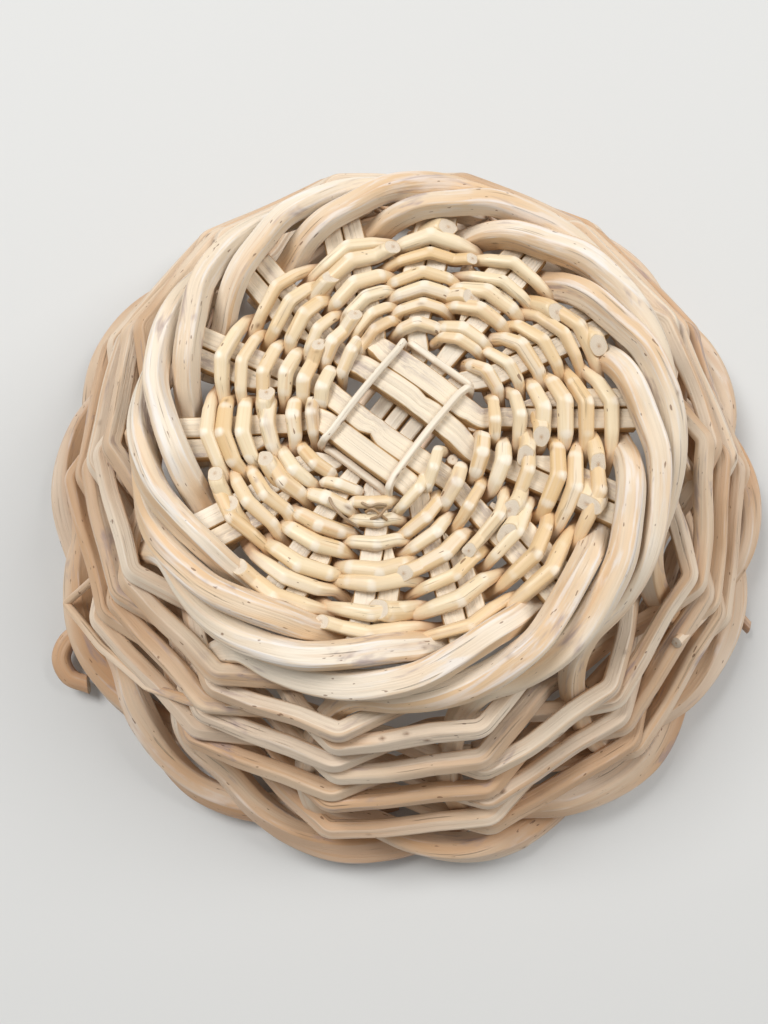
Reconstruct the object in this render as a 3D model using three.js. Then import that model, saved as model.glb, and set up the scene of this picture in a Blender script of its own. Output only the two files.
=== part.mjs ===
// Round willow bread basket, standing on its rim with the base up, +Z up, millimetres.
// Origin: centre of the circle that the rim rests on. Every rod and stick is a solid of its own.
// Azimuth 0 is +X and grows anticlockwise seen from above; a pitch is one fourteenth of a turn.

import * as THREE from 'three';

// Overall sizes
const rimOuterRadius = 120;
const footOuterRadius = 76;
const overallHeight = 87.5;
const acrossSticks = 4;
const alongSticks = 3;
const clearance = 0.3;
const restCut = 0.4;

// Base sticks, split square: four over three, each one two arms of the base
const slathAzimuth = -35.5;
const stickThickness = 4.4;
const slathStickWidth = 5.9;
const underStickWidth = 4.8;
const armWidth = 4.8;
const slathPairGap = 6.1;
const slathStickGap = 0.9;
const underStickPitch = 6.3;
const outerStraight = 13;
const outerArmStart = 25;
const innerStraight = 17.7;
const innerArmStart = 26.5;
const armEndOverlap = 2;

// Second sticks, pushed in beside the arms with a pointed end
const byeStartRadius = 33;
const byeFullRadius = 42;
const byePointWidth = 1.2;
const byeWidth = 4.8;

// Binding rods round the four groups of sticks
const bindingThickness = 2.6;
const bindingCut = 0.5;

// Two-rod pairing of the base: its first round starts as a rectangle round the slath
const pairingAlongStart = 17.3;
const pairingAcrossStart = 22.4;
const pairingRounds = 5.5;
const pairingWidth = 3.9;
const pairingThickness = 2.7;
const pairingTipWidth = 3;
const pairingTipThickness = 1.7;
const pairingSqueeze = 1.5;
const pairingDrift = 1.3;
const pairingCrown = 0.3;
const pairingStartArm = 3;
const pairingStrands = 2;
const pairingSections = 4;
const cutEndLength = 5;
const cutEndRise = 2.2;
const cutEndTaper = 0.8;

// Stakes: one rod is a foot-ring rod, a wall stake and a rim rod
const stakeFootThickness = 7.3;
const stakeWallThickness = 7.6;
const stakeRimThickness = 9.4;
const wallInset = 2;

// Three-rod wale of the wall
const waleThickness = 5.2;
const waleRowPitch = 14.6;
const waleStart = 3.2;
const waleEndRoom = 12.3;
const waleClearance = 0.65;
const waleJoinGap = 0.06;
const waleFirstStake = 2;
const waleStrands = 3;
const waleSections = 3;

// A hexagon drawn a little larger than its circle has the rod's thickness across its flats
const hexagonGrowth = 1.04;
// The sharpest mitre of a bend: the cosine of half the bend's angle
const mitreLimit = 0.6;

// Worked-out values
const armCount = 2 * (acrossSticks + alongSticks);
const pitch = (2 * Math.PI) / armCount;
const slathTurn = THREE.MathUtils.degToRad(slathAzimuth);
const firstArmAngle = slathTurn + pitch / 2;
const footRadius = stakeFootThickness / 2;
const wallRadius = stakeWallThickness / 2;
const rimRadius = stakeRimThickness / 2;
const footOuter = footOuterRadius - footRadius;
const footTop = stickThickness / 2 + footRadius + clearance;
const baseLevel = overallHeight + restCut - footRadius - footTop;

// Foot ring: the section curve of a rod from the weave's edge to its stake. A row holds the pitches from
// the edge, then the place in rod widths: outwards from the ring's outer rods and up from the sticks' level.
const footStep = stakeFootThickness + clearance;
const footTopRow = footTop / footStep;
const footCurve = [
  [0.2, -1.5, -1.2],
  [0.28, -1.54, -0.3],
  [0.46, -1.58, 0.37],
  [0.7, -1.47, footTopRow],
  [1.05, -1.1, footTopRow],
  [1.4, -0.63, footTopRow],
  [1.7, -0.38, 0.58],
  [2.0, -0.16, 0.22],
  [2.3, -0.04, -0.16],
  [2.6, 0, -0.53],
  [2.92, 0.03, -0.86],
].map(([passed, outwards, up]) => ({
  passed,
  radius: footOuter + outwards * footStep,
  height: baseLevel + up * footStep,
}));
const footPitches = 3;

// Rim: the section curve of a rod from its stake until it ends inside, low in the rim. A row holds the
// pitches from the stake, then the place in rod widths: outwards from the outermost point and up from the
// ground.
const rimOuter = rimOuterRadius - rimRadius;
const rimStep = stakeRimThickness + clearance;
const rimLowRow = (rimRadius * Math.cos(Math.PI / 6) * hexagonGrowth - restCut) / rimStep;
const rimCurve = [
  [0.25, -0.91, 1.81],
  [0.5, -0.49, 1.65],
  [0.8, -0.12, 1.34],
  [1.1, 0, 0.97],
  [1.4, -0.22, 0.62],
  [1.7, -0.71, rimLowRow],
  [2.0, -1.2, rimLowRow],
  [2.4, -1.8, rimLowRow],
].map(([passed, outwards, up]) => ({
  passed,
  radius: rimOuter + outwards * rimStep,
  height: up * rimStep,
}));

// The wall is the straight stretch of a stake between the two
const wallTop = { radius: footOuter + 0.05 * footStep, height: baseLevel - 1.12 * footStep };
const wallFoot = { radius: rimOuter - 0.93 * rimStep, height: 2.04 * rimStep };
const wallRun = wallFoot.radius - wallTop.radius;
const wallDrop = wallTop.height - wallFoot.height;
const flare = Math.atan2(wallRun, wallDrop);
const wallLength = Math.hypot(wallRun, wallDrop);

// The sticks end under the foot ring, and the weave ends just inside the rods that rise there. The weave
// is a polygon with its corners over the arms.
const footStartRadius = Math.min(...footCurve.map(({ radius }) => radius));
const armEndRadius = footStartRadius + armEndOverlap;
const weaveGapRadius = footStartRadius - footRadius * hexagonGrowth - clearance - pairingDrift - pairingSqueeze / 2;
const weaveOuterRadius = weaveGapRadius / Math.cos(pitch / 2);

// Materials
const stickFinish = { color: 0xeadbbf, roughness: 0.62, metalness: 0 };
const honeyFinish = { color: 0xe3c48c, roughness: 0.38, metalness: 0 };
const stakeFinish = { color: 0xe9d3ae, roughness: 0.5, metalness: 0 };
const waleFinish = { color: 0xdfc3a0, roughness: 0.55, metalness: 0 };

const basket = new THREE.Group();

function addRod(name, geometry, finish) {
  const mesh = new THREE.Mesh(geometry, new THREE.MeshStandardMaterial(finish));
  mesh.name = name;
  basket.add(mesh);
}

// A point from its radius, azimuth and height
function cylindrical(radius, angle, height) {
  return new THREE.Vector3(radius * Math.cos(angle), radius * Math.sin(angle), height);
}

// The direction in the upright plane at an azimuth, leaning up by an angle from the outward one
function leaning(angle, lean) {
  return cylindrical(Math.cos(lean), angle, Math.sin(lean));
}

// A closed loft through stations { point, across, halfWidth, halfThickness }: the section's wide axis
// lies along "across", squared to the path, and bends are mitred so that the rod keeps its thickness.
function loft(stations, sides, floor = -Infinity, ceiling = Infinity) {
  const positions = [];
  const indices = [];
  const last = stations.length - 1;
  stations.forEach((station, index) => {
    const before = stations[Math.max(index - 1, 0)].point;
    const after = stations[Math.min(index + 1, last)].point;
    const incoming = station.point.clone().sub(before);
    const outgoing = after.clone().sub(station.point);
    if (index === 0) incoming.copy(outgoing);
    if (index === last) outgoing.copy(incoming);
    incoming.normalize();
    outgoing.normalize();
    const tangent = incoming.clone().add(outgoing).normalize();
    const across = station.across.clone().addScaledVector(tangent, -station.across.dot(tangent)).normalize();
    const thick = tangent.clone().cross(across).normalize();
    const mitre = 1 / Math.max(incoming.dot(tangent), mitreLimit);
    const bend = outgoing.clone().sub(incoming).normalize();
    const bendAcross = Math.abs(bend.dot(across));
    const bendThick = Math.abs(bend.dot(thick));
    across.multiplyScalar(station.halfWidth * THREE.MathUtils.lerp(1, mitre, bendAcross));
    thick.multiplyScalar(station.halfThickness * THREE.MathUtils.lerp(1, mitre, bendThick));
    for (let side = 0; side < sides; side += 1) {
      const turn = (2 * Math.PI * (side + (station.turn ?? 0))) / sides;
      const corner = station.point.clone()
        .addScaledVector(across, Math.cos(turn))
        .addScaledVector(thick, Math.sin(turn));
      positions.push(corner.x, corner.y, THREE.MathUtils.clamp(corner.z, floor, ceiling));
    }
  });
  for (let ring = 0; ring < last; ring += 1) {
    for (let side = 0; side < sides; side += 1) {
      const next = (side + 1) % sides;
      const a = ring * sides + side;
      const b = ring * sides + next;
      indices.push(a, b, b + sides, a, b + sides, a + sides);
    }
  }
  for (let side = 1; side < sides - 1; side += 1) {
    indices.push(0, side + 1, side);
    indices.push(last * sides, last * sides + side, last * sides + side + 1);
  }
  const geometry = new THREE.BufferGeometry();
  geometry.setAttribute('position', new THREE.Float32BufferAttribute(positions, 3));
  geometry.setIndex(indices);
  geometry.computeVertexNormals();
  return geometry;
}

// A split stick is a four-sided loft: the corners lie half a side's turn from the wide axis
function stickStation(point, across, width, thickness) {
  const corner = Math.SQRT2 / 2;
  return { point, across, halfWidth: width * corner, halfThickness: thickness * corner, turn: 0.5 };
}

// The base sticks lie in two layers that cross in the middle. Places across a layer are counted towards
// growing azimuth.
const innerPlace = slathPairGap / 2 + slathStickWidth / 2;
const outerPlace = innerPlace + slathStickWidth + slathStickGap;
const layerLevel = stickThickness / 2 + clearance / 2;
const outerLayer = {
  direction: slathTurn,
  places: [-outerPlace, -innerPlace, innerPlace, outerPlace],
  level: layerLevel,
  width: slathStickWidth,
  straight: outerStraight,
  armStart: outerArmStart,
  firstSpan: 2,
};
const innerLayer = {
  direction: slathTurn + Math.PI / 2,
  places: [-underStickPitch, 0, underStickPitch],
  level: -layerLevel,
  width: underStickWidth,
  straight: innerStraight,
  armStart: innerArmStart,
  firstSpan: 3,
};

// An arm is one end of a base stick. They are listed by growing azimuth.
function armOf(layer, turn, index) {
  const offset = (index - (layer.places.length - 1) / 2) * pitch;
  return { layer, place: layer.places[index], heading: layer.direction + turn, offset };
}
const arms = [0, Math.PI].flatMap((turn) => (
  [outerLayer, innerLayer].flatMap((layer) => layer.places.map((place, index) => armOf(layer, turn, index)))
));

// Where an arm's middle lies at a radius: straight on from the middle at first, then radial and level
function armPlace({ layer, place, heading, offset }, radius) {
  const share = THREE.MathUtils.smoothstep(radius, Math.hypot(layer.straight, place), layer.armStart);
  return {
    radius,
    azimuth: heading + THREE.MathUtils.lerp(Math.asin(place / radius), offset, share),
    height: baseLevel + THREE.MathUtils.lerp(layer.level, 0, share),
    width: THREE.MathUtils.lerp(layer.width, armWidth, share),
  };
}

function halfStick(arm) {
  const bendStart = Math.hypot(arm.layer.straight, arm.place);
  const radii = [0, 1 / 3, 2 / 3, 1].map((share) => THREE.MathUtils.lerp(bendStart, arm.layer.armStart, share));
  return [...radii, armEndRadius].map((radius, index) => {
    const { azimuth, height, width } = armPlace(arm, radius);
    const facing = index === 0 ? arm.heading : azimuth;
    const across = cylindrical(1, facing + Math.PI / 2, 0);
    return stickStation(cylindrical(radius, azimuth, height), across, width, stickThickness);
  });
}

// One base stick runs straight through the middle, then fans out to an arm at each end
function baseStick(layer, index) {
  const forward = halfStick(armOf(layer, 0, index));
  const backward = halfStick(armOf(layer, Math.PI, layer.places.length - 1 - index)).reverse();
  backward.forEach((station) => station.across.negate());
  return loft([...backward, ...forward], 4);
}

for (let index = 0; index < acrossSticks; index += 1) {
  addRod(`base_stick_outer_${index + 1}`, baseStick(outerLayer, index), stickFinish);
}
for (let index = 0; index < alongSticks; index += 1) {
  addRod(`base_stick_inner_${index + 1}`, baseStick(innerLayer, index), stickFinish);
}

// Second stick of an arm: pointed where it is pushed in, on the side of growing azimuth
for (let arm = 0; arm < armCount; arm += 1) {
  const angle = firstArmAngle + arm * pitch;
  const across = cylindrical(1, angle + Math.PI / 2, 0);
  const rows = [[byeStartRadius, byePointWidth], [byeFullRadius, byeWidth], [armEndRadius, byeWidth]];
  const stations = rows.map(([radius, width]) => {
    const shift = armWidth / 2 + clearance + width / 2;
    const point = cylindrical(radius, angle, baseLevel).addScaledVector(across, shift);
    return stickStation(point, across, width, stickThickness);
  });
  addRod(`second_stick_${String(arm + 1).padStart(2, '0')}`, loft(stations, 4), stickFinish);
}

// The two binding rods go once round the four groups of sticks, one over each group that the other
// goes under. At a corner the steep one drops outside the flat one. A corner's points are
// [along, across, height], the first two from its middle in binding rod widths.
const bindingRadius = bindingThickness / 2;
const bindingReach = bindingRadius + clearance;
const alongReach = underStickPitch + underStickWidth / 2 + bindingReach;
const acrossReach = outerPlace + slathStickWidth / 2 + bindingReach;
const overOuter = 2 * layerLevel + bindingReach;
const overInner = bindingReach + clearance / 2;

const bindingStep = bindingThickness + clearance;

function steepCorner(sideAlong, sideAcross) {
  return [
    [0, -1.17, overOuter],
    [0.48, -0.07, overOuter - bindingStep * 0.2],
    [1, 0.28, overOuter - bindingStep * 1.17],
    [1, 0.28, bindingStep - overOuter],
    [0.31, 0.31, 0.3 - overOuter],
    [-1.03, 0, -overOuter],
  ].map(([along, across, height]) => bindingCorner(sideAlong, sideAcross, along, across, height));
}

function flatCorner(sideAlong, sideAcross) {
  return [
    [0, -1.03, -overInner],
    [0, -0.1, overInner * -0.4],
    [-0.17, 0.07, overInner * 0.7],
    [-0.72, 0, overInner],
  ].map(([along, across, height]) => bindingCorner(sideAlong, sideAcross, along, across, height));
}

function bindingCorner(sideAlong, sideAcross, along, across, height) {
  return [
    sideAlong * (alongReach + along * bindingStep),
    sideAcross * (acrossReach + across * bindingStep),
    height,
  ];
}

function bindingRod(corner, start) {
  const route = [
    [start[0], start[1] + bindingCut, start[2]],
    ...corner(1, 1),
    ...corner(-1, 1).reverse(),
    ...corner(-1, -1),
    ...corner(1, -1).reverse(),
    start,
  ];
  const centre = new THREE.Vector3(0, 0, baseLevel);
  const stations = route.map(([along, across, height]) => {
    const point = new THREE.Vector3(along, across, height)
      .applyAxisAngle(new THREE.Vector3(0, 0, 1), slathTurn)
      .add(centre);
    return { point, across: new THREE.Vector3(), halfWidth: bindingRadius, halfThickness: bindingRadius };
  });
  let across = new THREE.Vector3(0, 0, 1);
  stations.forEach((station, index) => {
    const before = stations[Math.max(index - 1, 0)].point;
    const after = stations[Math.min(index + 1, stations.length - 1)].point;
    const tangent = after.clone().sub(before).normalize();
    across = across.clone().addScaledVector(tangent, -across.dot(tangent)).normalize();
    station.across.copy(across);
  });
  return loft(stations, 5);
}

addRod('binding_rod_steep', bindingRod(steepCorner, [alongReach, 0, overOuter]), honeyFinish);
addRod('binding_rod_flat', bindingRod(flatCorner, [alongReach, 0, -overInner]), honeyFinish);

// Pairing: at each crossing one strand passes over the arm and the other under it. Between two arms the
// one that goes down lies outside the one that comes up, both drawn narrow, and over an arm a strand is wide.
const pairingEdge = clearance + pairingThickness * 0.4;
const pairingReach = pairingTipWidth / 2;
const edgeSteps = 6;

function secondStickWidth(radius) {
  if (radius < byeStartRadius - pairingWidth / 2) return 0;
  const share = (radius - byeStartRadius) / (byeFullRadius - byeStartRadius);
  return clearance + THREE.MathUtils.lerp(byePointWidth, byeWidth, THREE.MathUtils.clamp(share, 0, 1));
}

// Azimuths fall without end as the weave goes round, and an arm's number falls with them below zero
function armAzimuth(number) {
  return firstArmAngle + (number - acrossSticks / 2) * pitch;
}
const weaveStartAzimuth = armAzimuth(pairingStartArm) + pitch / 2;

function weaveTurns(azimuth) {
  return Math.max((weaveStartAzimuth - azimuth) / (2 * Math.PI), 0);
}

// Radius of the weave at an azimuth: from the rectangle round the slath out to the polygon. "corner" is
// the azimuth of the nearest crossing, where the polygon has its corner.
function weaveRadius(azimuth, corner) {
  const turns = weaveTurns(azimuth);
  const rectangle = Math.min(
    pairingAlongStart / Math.abs(Math.cos(azimuth - slathTurn)),
    pairingAcrossStart / Math.abs(Math.sin(azimuth - slathTurn)),
  );
  const fromCorner = Math.min(Math.abs(azimuth - corner), pitch / 2);
  const polygon = (weaveOuterRadius * Math.cos(pitch / 2)) / Math.cos(pitch / 2 - fromCorner);
  return THREE.MathUtils.lerp(rectangle, polygon, turns / pairingRounds);
}

// The arm with a number, and how far round the weave has turned there
function armWith(number) {
  const rounds = Math.floor(number / armCount);
  return { arm: arms[number - rounds * armCount], turned: rounds * 2 * Math.PI };
}

// Where a crossing starts or ends: just past an arm's edge at the inner side of the weave there, found in
// a few steps because the arm's azimuth and the weave's radius depend on each other
function edgeAzimuth(number, side) {
  const { arm, turned } = armWith(number);
  let azimuth = armAzimuth(number);
  for (let step = 0; step < edgeSteps; step += 1) {
    const radius = weaveRadius(azimuth, azimuth) - pairingDrift;
    const place = armPlace(arm, radius);
    const reach = place.width / 2 + pairingEdge + (side > 0 ? secondStickWidth(radius) : 0);
    azimuth = place.azimuth + turned + (side * reach) / radius;
  }
  return azimuth;
}

// A crossing goes over or under a run of arms: where it starts and ends, and the arms' highest and lowest
// middles under the strand's width
function crossingOf(first, last) {
  const heights = [];
  for (let number = last; number <= first; number += 1) {
    const { arm, turned } = armWith(number);
    const radius = weaveRadius(armAzimuth(number), armAzimuth(number));
    [-pairingReach, pairingReach].forEach((aside) => heights.push(armPlace(arm, radius + aside).height));
  }
  const start = edgeAzimuth(first, 1);
  const end = edgeAzimuth(last, -1);
  return { start, end, top: Math.max(...heights), bottom: Math.min(...heights) };
}

// The first round crosses the sticks in the groups that they are bound in, and the others cross each arm
const crossings = [];
for (let number = pairingStartArm; armAzimuth(number) > weaveStartAzimuth - pairingRounds * 2 * Math.PI;) {
  const inFirstRound = number > pairingStartArm - armCount;
  const span = inFirstRound ? armWith(number).arm.layer.firstSpan : 1;
  crossings.push(crossingOf(number, number - span + 1));
  number -= span;
}

// A strand's stations at a crossing: at its first edge, over its middle, at its other edge, and half way
// to the next crossing. The first round is woven with the rods' thin tips.
function pairingStations(strand, index) {
  const { start, end, top, bottom } = crossings[index];
  const next = crossings[index + 1];
  const side = (index + strand) % pairingStrands === 0 ? 1 : -1;
  const face = side > 0 ? top : bottom;
  const middle = (start + end) / 2;
  const halfway = (end + next.start) / 2;
  const between = (top + bottom + next.top + next.bottom) / 4;
  const station = (azimuth, drift, level, rise, fullWidth) => {
    const fullness = Math.min(weaveTurns(azimuth), 1);
    const thickness = THREE.MathUtils.lerp(pairingTipThickness, pairingThickness, fullness);
    const height = level + side * rise * (stickThickness / 2 + clearance + thickness / 2);
    return {
      point: cylindrical(weaveRadius(azimuth, middle) + side * drift * pairingDrift, azimuth, height),
      across: cylindrical(1, azimuth, 0),
      halfWidth: Math.min(THREE.MathUtils.lerp(pairingTipWidth, pairingWidth, fullness), fullWidth) / 2,
      halfThickness: thickness / 2,
    };
  };
  const crown = station(middle, 0, face + pairingCrown, 1, pairingWidth);
  return [
    station(start, -0.5, face, 1, pairingWidth),
    ...(side > 0 ? [crown] : []),
    station(end, 0.5, face, 1, pairingWidth),
    station(halfway, 1, between, 0, pairingSqueeze),
  ];
}

// A weaver that runs out is cut off on the outer face past its last arm, and the next one starts under it,
// so a strand's joins lie at the crossings where it is on top
function cutEnd(last, before) {
  const onward = last.point.clone().sub(before.point).setZ(0).setLength(cutEndLength);
  const point = last.point.clone().add(onward);
  point.z += cutEndRise;
  return { ...last, point, halfWidth: last.halfWidth * cutEndTaper };
}

for (let strand = 0; strand < pairingStrands; strand += 1) {
  const joinCrossing = (count) => {
    const share = ((crossings.length - 2 * pairingStrands) * count) / pairingSections;
    return Math.round(share / pairingStrands) * pairingStrands + strand;
  };
  for (let section = 0; section < pairingSections; section += 1) {
    const first = joinCrossing(section);
    const final = joinCrossing(section + 1);
    const stations = [pairingStations(strand, first).pop()];
    for (let index = first + 1; index <= final; index += 1) stations.push(...pairingStations(strand, index));
    stations.pop();
    const last = stations.length - 1;
    stations.push(cutEnd(stations[last], stations[last - 1]));
    addRod(`base_weaver_${strand + 1}_${section + 1}`, loft(stations, 5), honeyFinish);
  }
}

// A place on the wall: distance down it from its top, and offset outwards, square to it
function wallPoint(angle, down, offset) {
  return cylindrical(
    wallTop.radius + down * Math.sin(flare) + offset * Math.cos(flare),
    angle,
    wallTop.height - down * Math.cos(flare) + offset * Math.sin(flare),
  );
}

// A stake's section turns from upright in the foot ring to square to the wall, and back in the rim
const upright = Math.PI / 2;
function stake(arm) {
  const angle = firstArmAngle + arm * pitch;
  const stations = [];
  const add = (point, at, lean, radius) => stations.push({
    point,
    across: leaning(at, lean),
    halfWidth: radius * hexagonGrowth,
    halfThickness: radius * hexagonGrowth,
    turn: 0.5,
  });
  const { lerp, smoothstep } = THREE.MathUtils;
  footCurve.forEach(({ passed, radius, height }) => {
    const at = angle + (footPitches - passed) * pitch;
    const lean = lerp(upright, flare, smoothstep(passed, 1.4, 2.8));
    add(cylindrical(radius, at, height), at, lean, footRadius);
  });
  [wallInset, wallLength - wallInset].forEach((down) => {
    add(wallPoint(angle, down, 0), angle, flare, lerp(footRadius, wallRadius, down / wallLength));
  });
  rimCurve.forEach(({ passed, radius, height }) => {
    const at = angle + passed * pitch;
    const lean = lerp(flare, upright, smoothstep(passed, 0.2, 1.4));
    add(cylindrical(radius, at, height), at, lean, lerp(wallRadius, rimRadius, smoothstep(passed, 0, 0.5)));
  });
  return loft(stations, 6, 0, overallHeight);
}

for (let arm = 0; arm < armCount; arm += 1) {
  addRod(`stake_${String(arm + 1).padStart(2, '0')}`, stake(arm), stakeFinish);
}

// Three-rod wale: in front of two stakes, then behind one. Each phase gives the offset from the wall
// and the place down it, at the stake and at one and two thirds of the way to the next, as shares of the
// offset and of the stack of one rod on the next.
const waleRadius = waleThickness / 2;
const waleOffset = wallRadius * hexagonGrowth + waleClearance + waleRadius;
const waleStack = waleThickness + waleClearance + clearance;
const walePhases = [
  [[1, 0], [1, 0.2], [1, 0.8]],
  [[1, 1], [0.25, 0.92], [-0.7, 0.75]],
  [[-1, 0.5], [-0.65, 0.1], [0.25, -0.15]],
];
const stationsPerStake = 3;

function waleStation(strand, step) {
  const stakesPassed = step / stationsPerStake;
  const phase = (Math.floor(stakesPassed) - strand + waleStrands) % waleStrands;
  const [outwards, down] = walePhases[phase][step % stationsPerStake];
  const angle = firstArmAngle - stakesPassed * pitch;
  const place = waleStart + (waleRowPitch * stakesPassed) / armCount + down * waleStack;
  const point = wallPoint(angle, place, outwards * waleOffset);
  // Between two stakes a rod runs straight, which a polygon does inside its circle
  const fromStake = (stakesPassed % 1) * pitch;
  const straight = Math.cos(pitch / 2) / Math.cos(pitch / 2 - fromStake);
  point.x *= straight;
  point.y *= straight;
  return { point, across: leaning(angle, flare), halfWidth: waleRadius, halfThickness: waleRadius };
}

// The strands start behind three stakes in turn and each is a few rods long, joined behind a stake
const waleStakes = ((wallLength - waleStart - waleEndRoom) / waleRowPitch) * armCount;
for (let strand = 0; strand < waleStrands; strand += 1) {
  const joinStake = (count) => {
    const share = (waleStakes * count) / waleSections;
    return Math.round((share - strand) / waleStrands) * waleStrands + waleFirstStake + strand;
  };
  for (let section = 0; section < waleSections; section += 1) {
    const first = joinStake(section);
    const last = joinStake(section + 1);
    const stations = [];
    for (let step = first * stationsPerStake; step <= last * stationsPerStake; step += 1) {
      stations.push(waleStation(strand, step));
    }
    stations[0].point.lerp(stations[1].point, waleJoinGap);
    addRod(`wale_rod_${strand + 1}_${section + 1}`, loft(stations, 5), waleFinish);
  }
}

export default basket;
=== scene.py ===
"""Round willow bread basket, standing on its rim with the base up.

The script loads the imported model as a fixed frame, replaces every rod and stick of it by a finely made
one in the same place, and adds the floor, lamps and camera. Lengths are metres. Azimuth 0 is +X and
grows anticlockwise seen from above; a pitch is one fourteenth of a turn.
"""

import math
from functools import partial
from typing import NamedTuple

import bpy
import numpy as np
from mathutils import Matrix, Vector


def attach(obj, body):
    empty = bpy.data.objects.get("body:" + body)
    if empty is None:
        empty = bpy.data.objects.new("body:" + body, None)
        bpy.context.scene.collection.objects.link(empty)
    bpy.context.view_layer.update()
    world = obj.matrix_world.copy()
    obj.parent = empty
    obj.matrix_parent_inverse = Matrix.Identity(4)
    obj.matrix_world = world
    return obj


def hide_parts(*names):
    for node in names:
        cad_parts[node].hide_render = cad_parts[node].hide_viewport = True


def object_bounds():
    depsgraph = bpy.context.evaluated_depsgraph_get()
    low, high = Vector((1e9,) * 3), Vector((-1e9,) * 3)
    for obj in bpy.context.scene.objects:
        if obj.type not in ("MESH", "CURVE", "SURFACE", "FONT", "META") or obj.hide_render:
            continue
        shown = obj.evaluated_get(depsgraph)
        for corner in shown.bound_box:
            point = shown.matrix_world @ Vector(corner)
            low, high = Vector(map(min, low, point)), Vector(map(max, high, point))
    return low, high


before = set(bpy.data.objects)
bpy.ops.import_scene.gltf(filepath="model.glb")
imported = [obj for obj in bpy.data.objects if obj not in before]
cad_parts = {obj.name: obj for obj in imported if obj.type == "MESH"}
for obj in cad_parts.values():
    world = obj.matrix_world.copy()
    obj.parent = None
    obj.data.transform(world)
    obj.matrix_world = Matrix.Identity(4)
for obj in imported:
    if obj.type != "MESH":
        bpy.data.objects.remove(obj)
CAD_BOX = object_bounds()

bl_info = {
    "name": "Willow bread basket",
    "version": (1, 0, 0),
    "blender": (4, 5, 0),
    "location": "3D View > Sidebar > Basket",
    "description": "Makes a round willow basket around its packed frame",
    "category": "Add Mesh",
}

MM = 0.001

# The same numbers as in the part's source. There each rod is a hexagon drawn larger than its circle by
# HEXAGON_GROWTH, and REST_CUT is cut off the rods that the basket rests on. Turns are given in pitches.
ACROSS_STICKS = 4
ALONG_STICKS = 3
ARMS = 2 * (ACROSS_STICKS + ALONG_STICKS)
PITCH = 2 * math.pi / ARMS
STATIONS_PER_ARM = 3
HEXAGON_GROWTH = 1.04
CLEARANCE = 0.3 * MM
REST_CUT = 0.4 * MM
FIRST_CROSSED = 3
EDGE_STEPS = 6
EDGE_ROOM = 0.4
ARM_HEIGHT_REACH = 1.5 * MM
ARM_REACH = 2 * MM
BEND_STATIONS = 7
ARM_SHARES = (0.33, 0.67, 1)
STAKE_INSET = 2 * MM
FOOT_PITCHES = 3
FOOT_TURN = (1.4, 2.8)
RIM_TURN = (0.2, 1.4)
RIM_THICKENING = (0, 0.5)

# The wall's ends and the arms' ends, in steps outwards and up from the foot ring's and the rim's circles.
WALL_TOP = (0.05, -1.12)
WALL_FOOT = (-0.93, 2.04)
ARM_END = -1.58

# How the basket stands askew: it leans towards +Y by this share of the height, and its slath lies aside,
# fading out over a radius and over these heights.
LEAN = 0.045
SLATH_ASIDE = (-2.7 * MM, 1.6 * MM)
SLATH_REACH = 60 * MM
SLATH_HEIGHTS = (64 * MM, 72 * MM)

# How uneven it is woven: the corners of the first round, how far a weaver strays in its rounds and at its
# kinks, in millimetres, and in thickness. A thick rod sways and swells in waves, which are given by their
# length or by height and length, here and below, and whose lengths are spread by WAVE_SPREAD.
CORNER_POWER = 3.6
ROUND_STRAY = 0.45
KINK_STRAY = 0.8
PLUMPNESS = (0.84, 1.14)
SWAY_LENGTH = 0.07
THICKNESS_SWAY = (0.045, 0.09)
WAVE_SPREAD = (0.6, 1.7)

# A weaver at a crossing: its share of the full rise at the arm's edge on each side, and of its narrowing,
# how much higher its kink is, and how thick it is there and in the first round. Then the binding rods.
EDGE_RISE = {1: 0.7, -1: 0.96}
EDGE_NARROWING = 0.35
KINK_LIFT = 0.6 * MM
WEAVER_PLUMP = 1.1
FIRST_THICKNESS = 0.8
BINDING_SHRINK = 0.85
BINDING_LAP = 1.5 * MM
LOOSE_DIRECTION = (1, 0.3)

# Ends of a rod: sizes of the rings that close it, their bulge, their roughness in millimetres, and how far
# the slant reaches.
CAP_SHARES = (0.94, 0.8, 0.55, 0.3, 0.12)
CAP_BULGE = 0.25 * MM
CAP_ROUGHNESS = 0.1
CUT_REACH = 4 * MM

# How far along and aside each rod's grain is shifted at random in its noises.
GRAIN_SHIFT = 40
GRAIN_ASIDE = 0.37

# Bud scars: spread of their number, their size and the darkness of the least, the height of the swelling,
# and reach along and round the rod of the swelling and of the dark spot.
SCAR_SPREAD = (0.7, 1.3)
SCAR_SIZES = (0.25, 1)
LEAST_DARKNESS = 0.4
SWELL_HEIGHT = 0.1
SWELL_REACH = (1.6 * MM, 1.5 * MM)
SPOT_REACH = (0.8 * MM, 0.45 * MM)

# Section of a shaved rod, in its own radius: its round part and how shaved that counts, how a flat strays
# from an even spread and turns, its depth, how shaved it is, its least cosine with the value past it, and
# a ridge's width.
ROUND_CUT = 1.03
ROUND_SHARE = 0.1
FLAT_JITTER = 0.28
FLAT_TURN = (0.16, 0.16)
LEAST_DEPTH = 0.2
FLAT_DEPTH = (0.3, 0.08, 3)
SHARE_POWER = 1.3
FLAT_SHARE = (0.22, 0.09)
LEAST_COSINE = 0.3
FAR_CUT = 4.0
RIDGE_WIDTH = 0.04

# Section of a split stick: how square it is, how its sides bulge, its ripples with their height and how
# they turn, how far a wide face reaches towards the corner, and how its width varies along it.
STICK_POWER = 9.0
STICK_BULGE = (0.012, 0.025)
RIPPLES = (7, 11, 15)
RIPPLE_HEIGHT = 0.008
RIPPLE_TURN = (0.4, 0.05)
FACE_EDGE = 1.02
STICK_UNEVEN = (0.02, 0.04)

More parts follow.
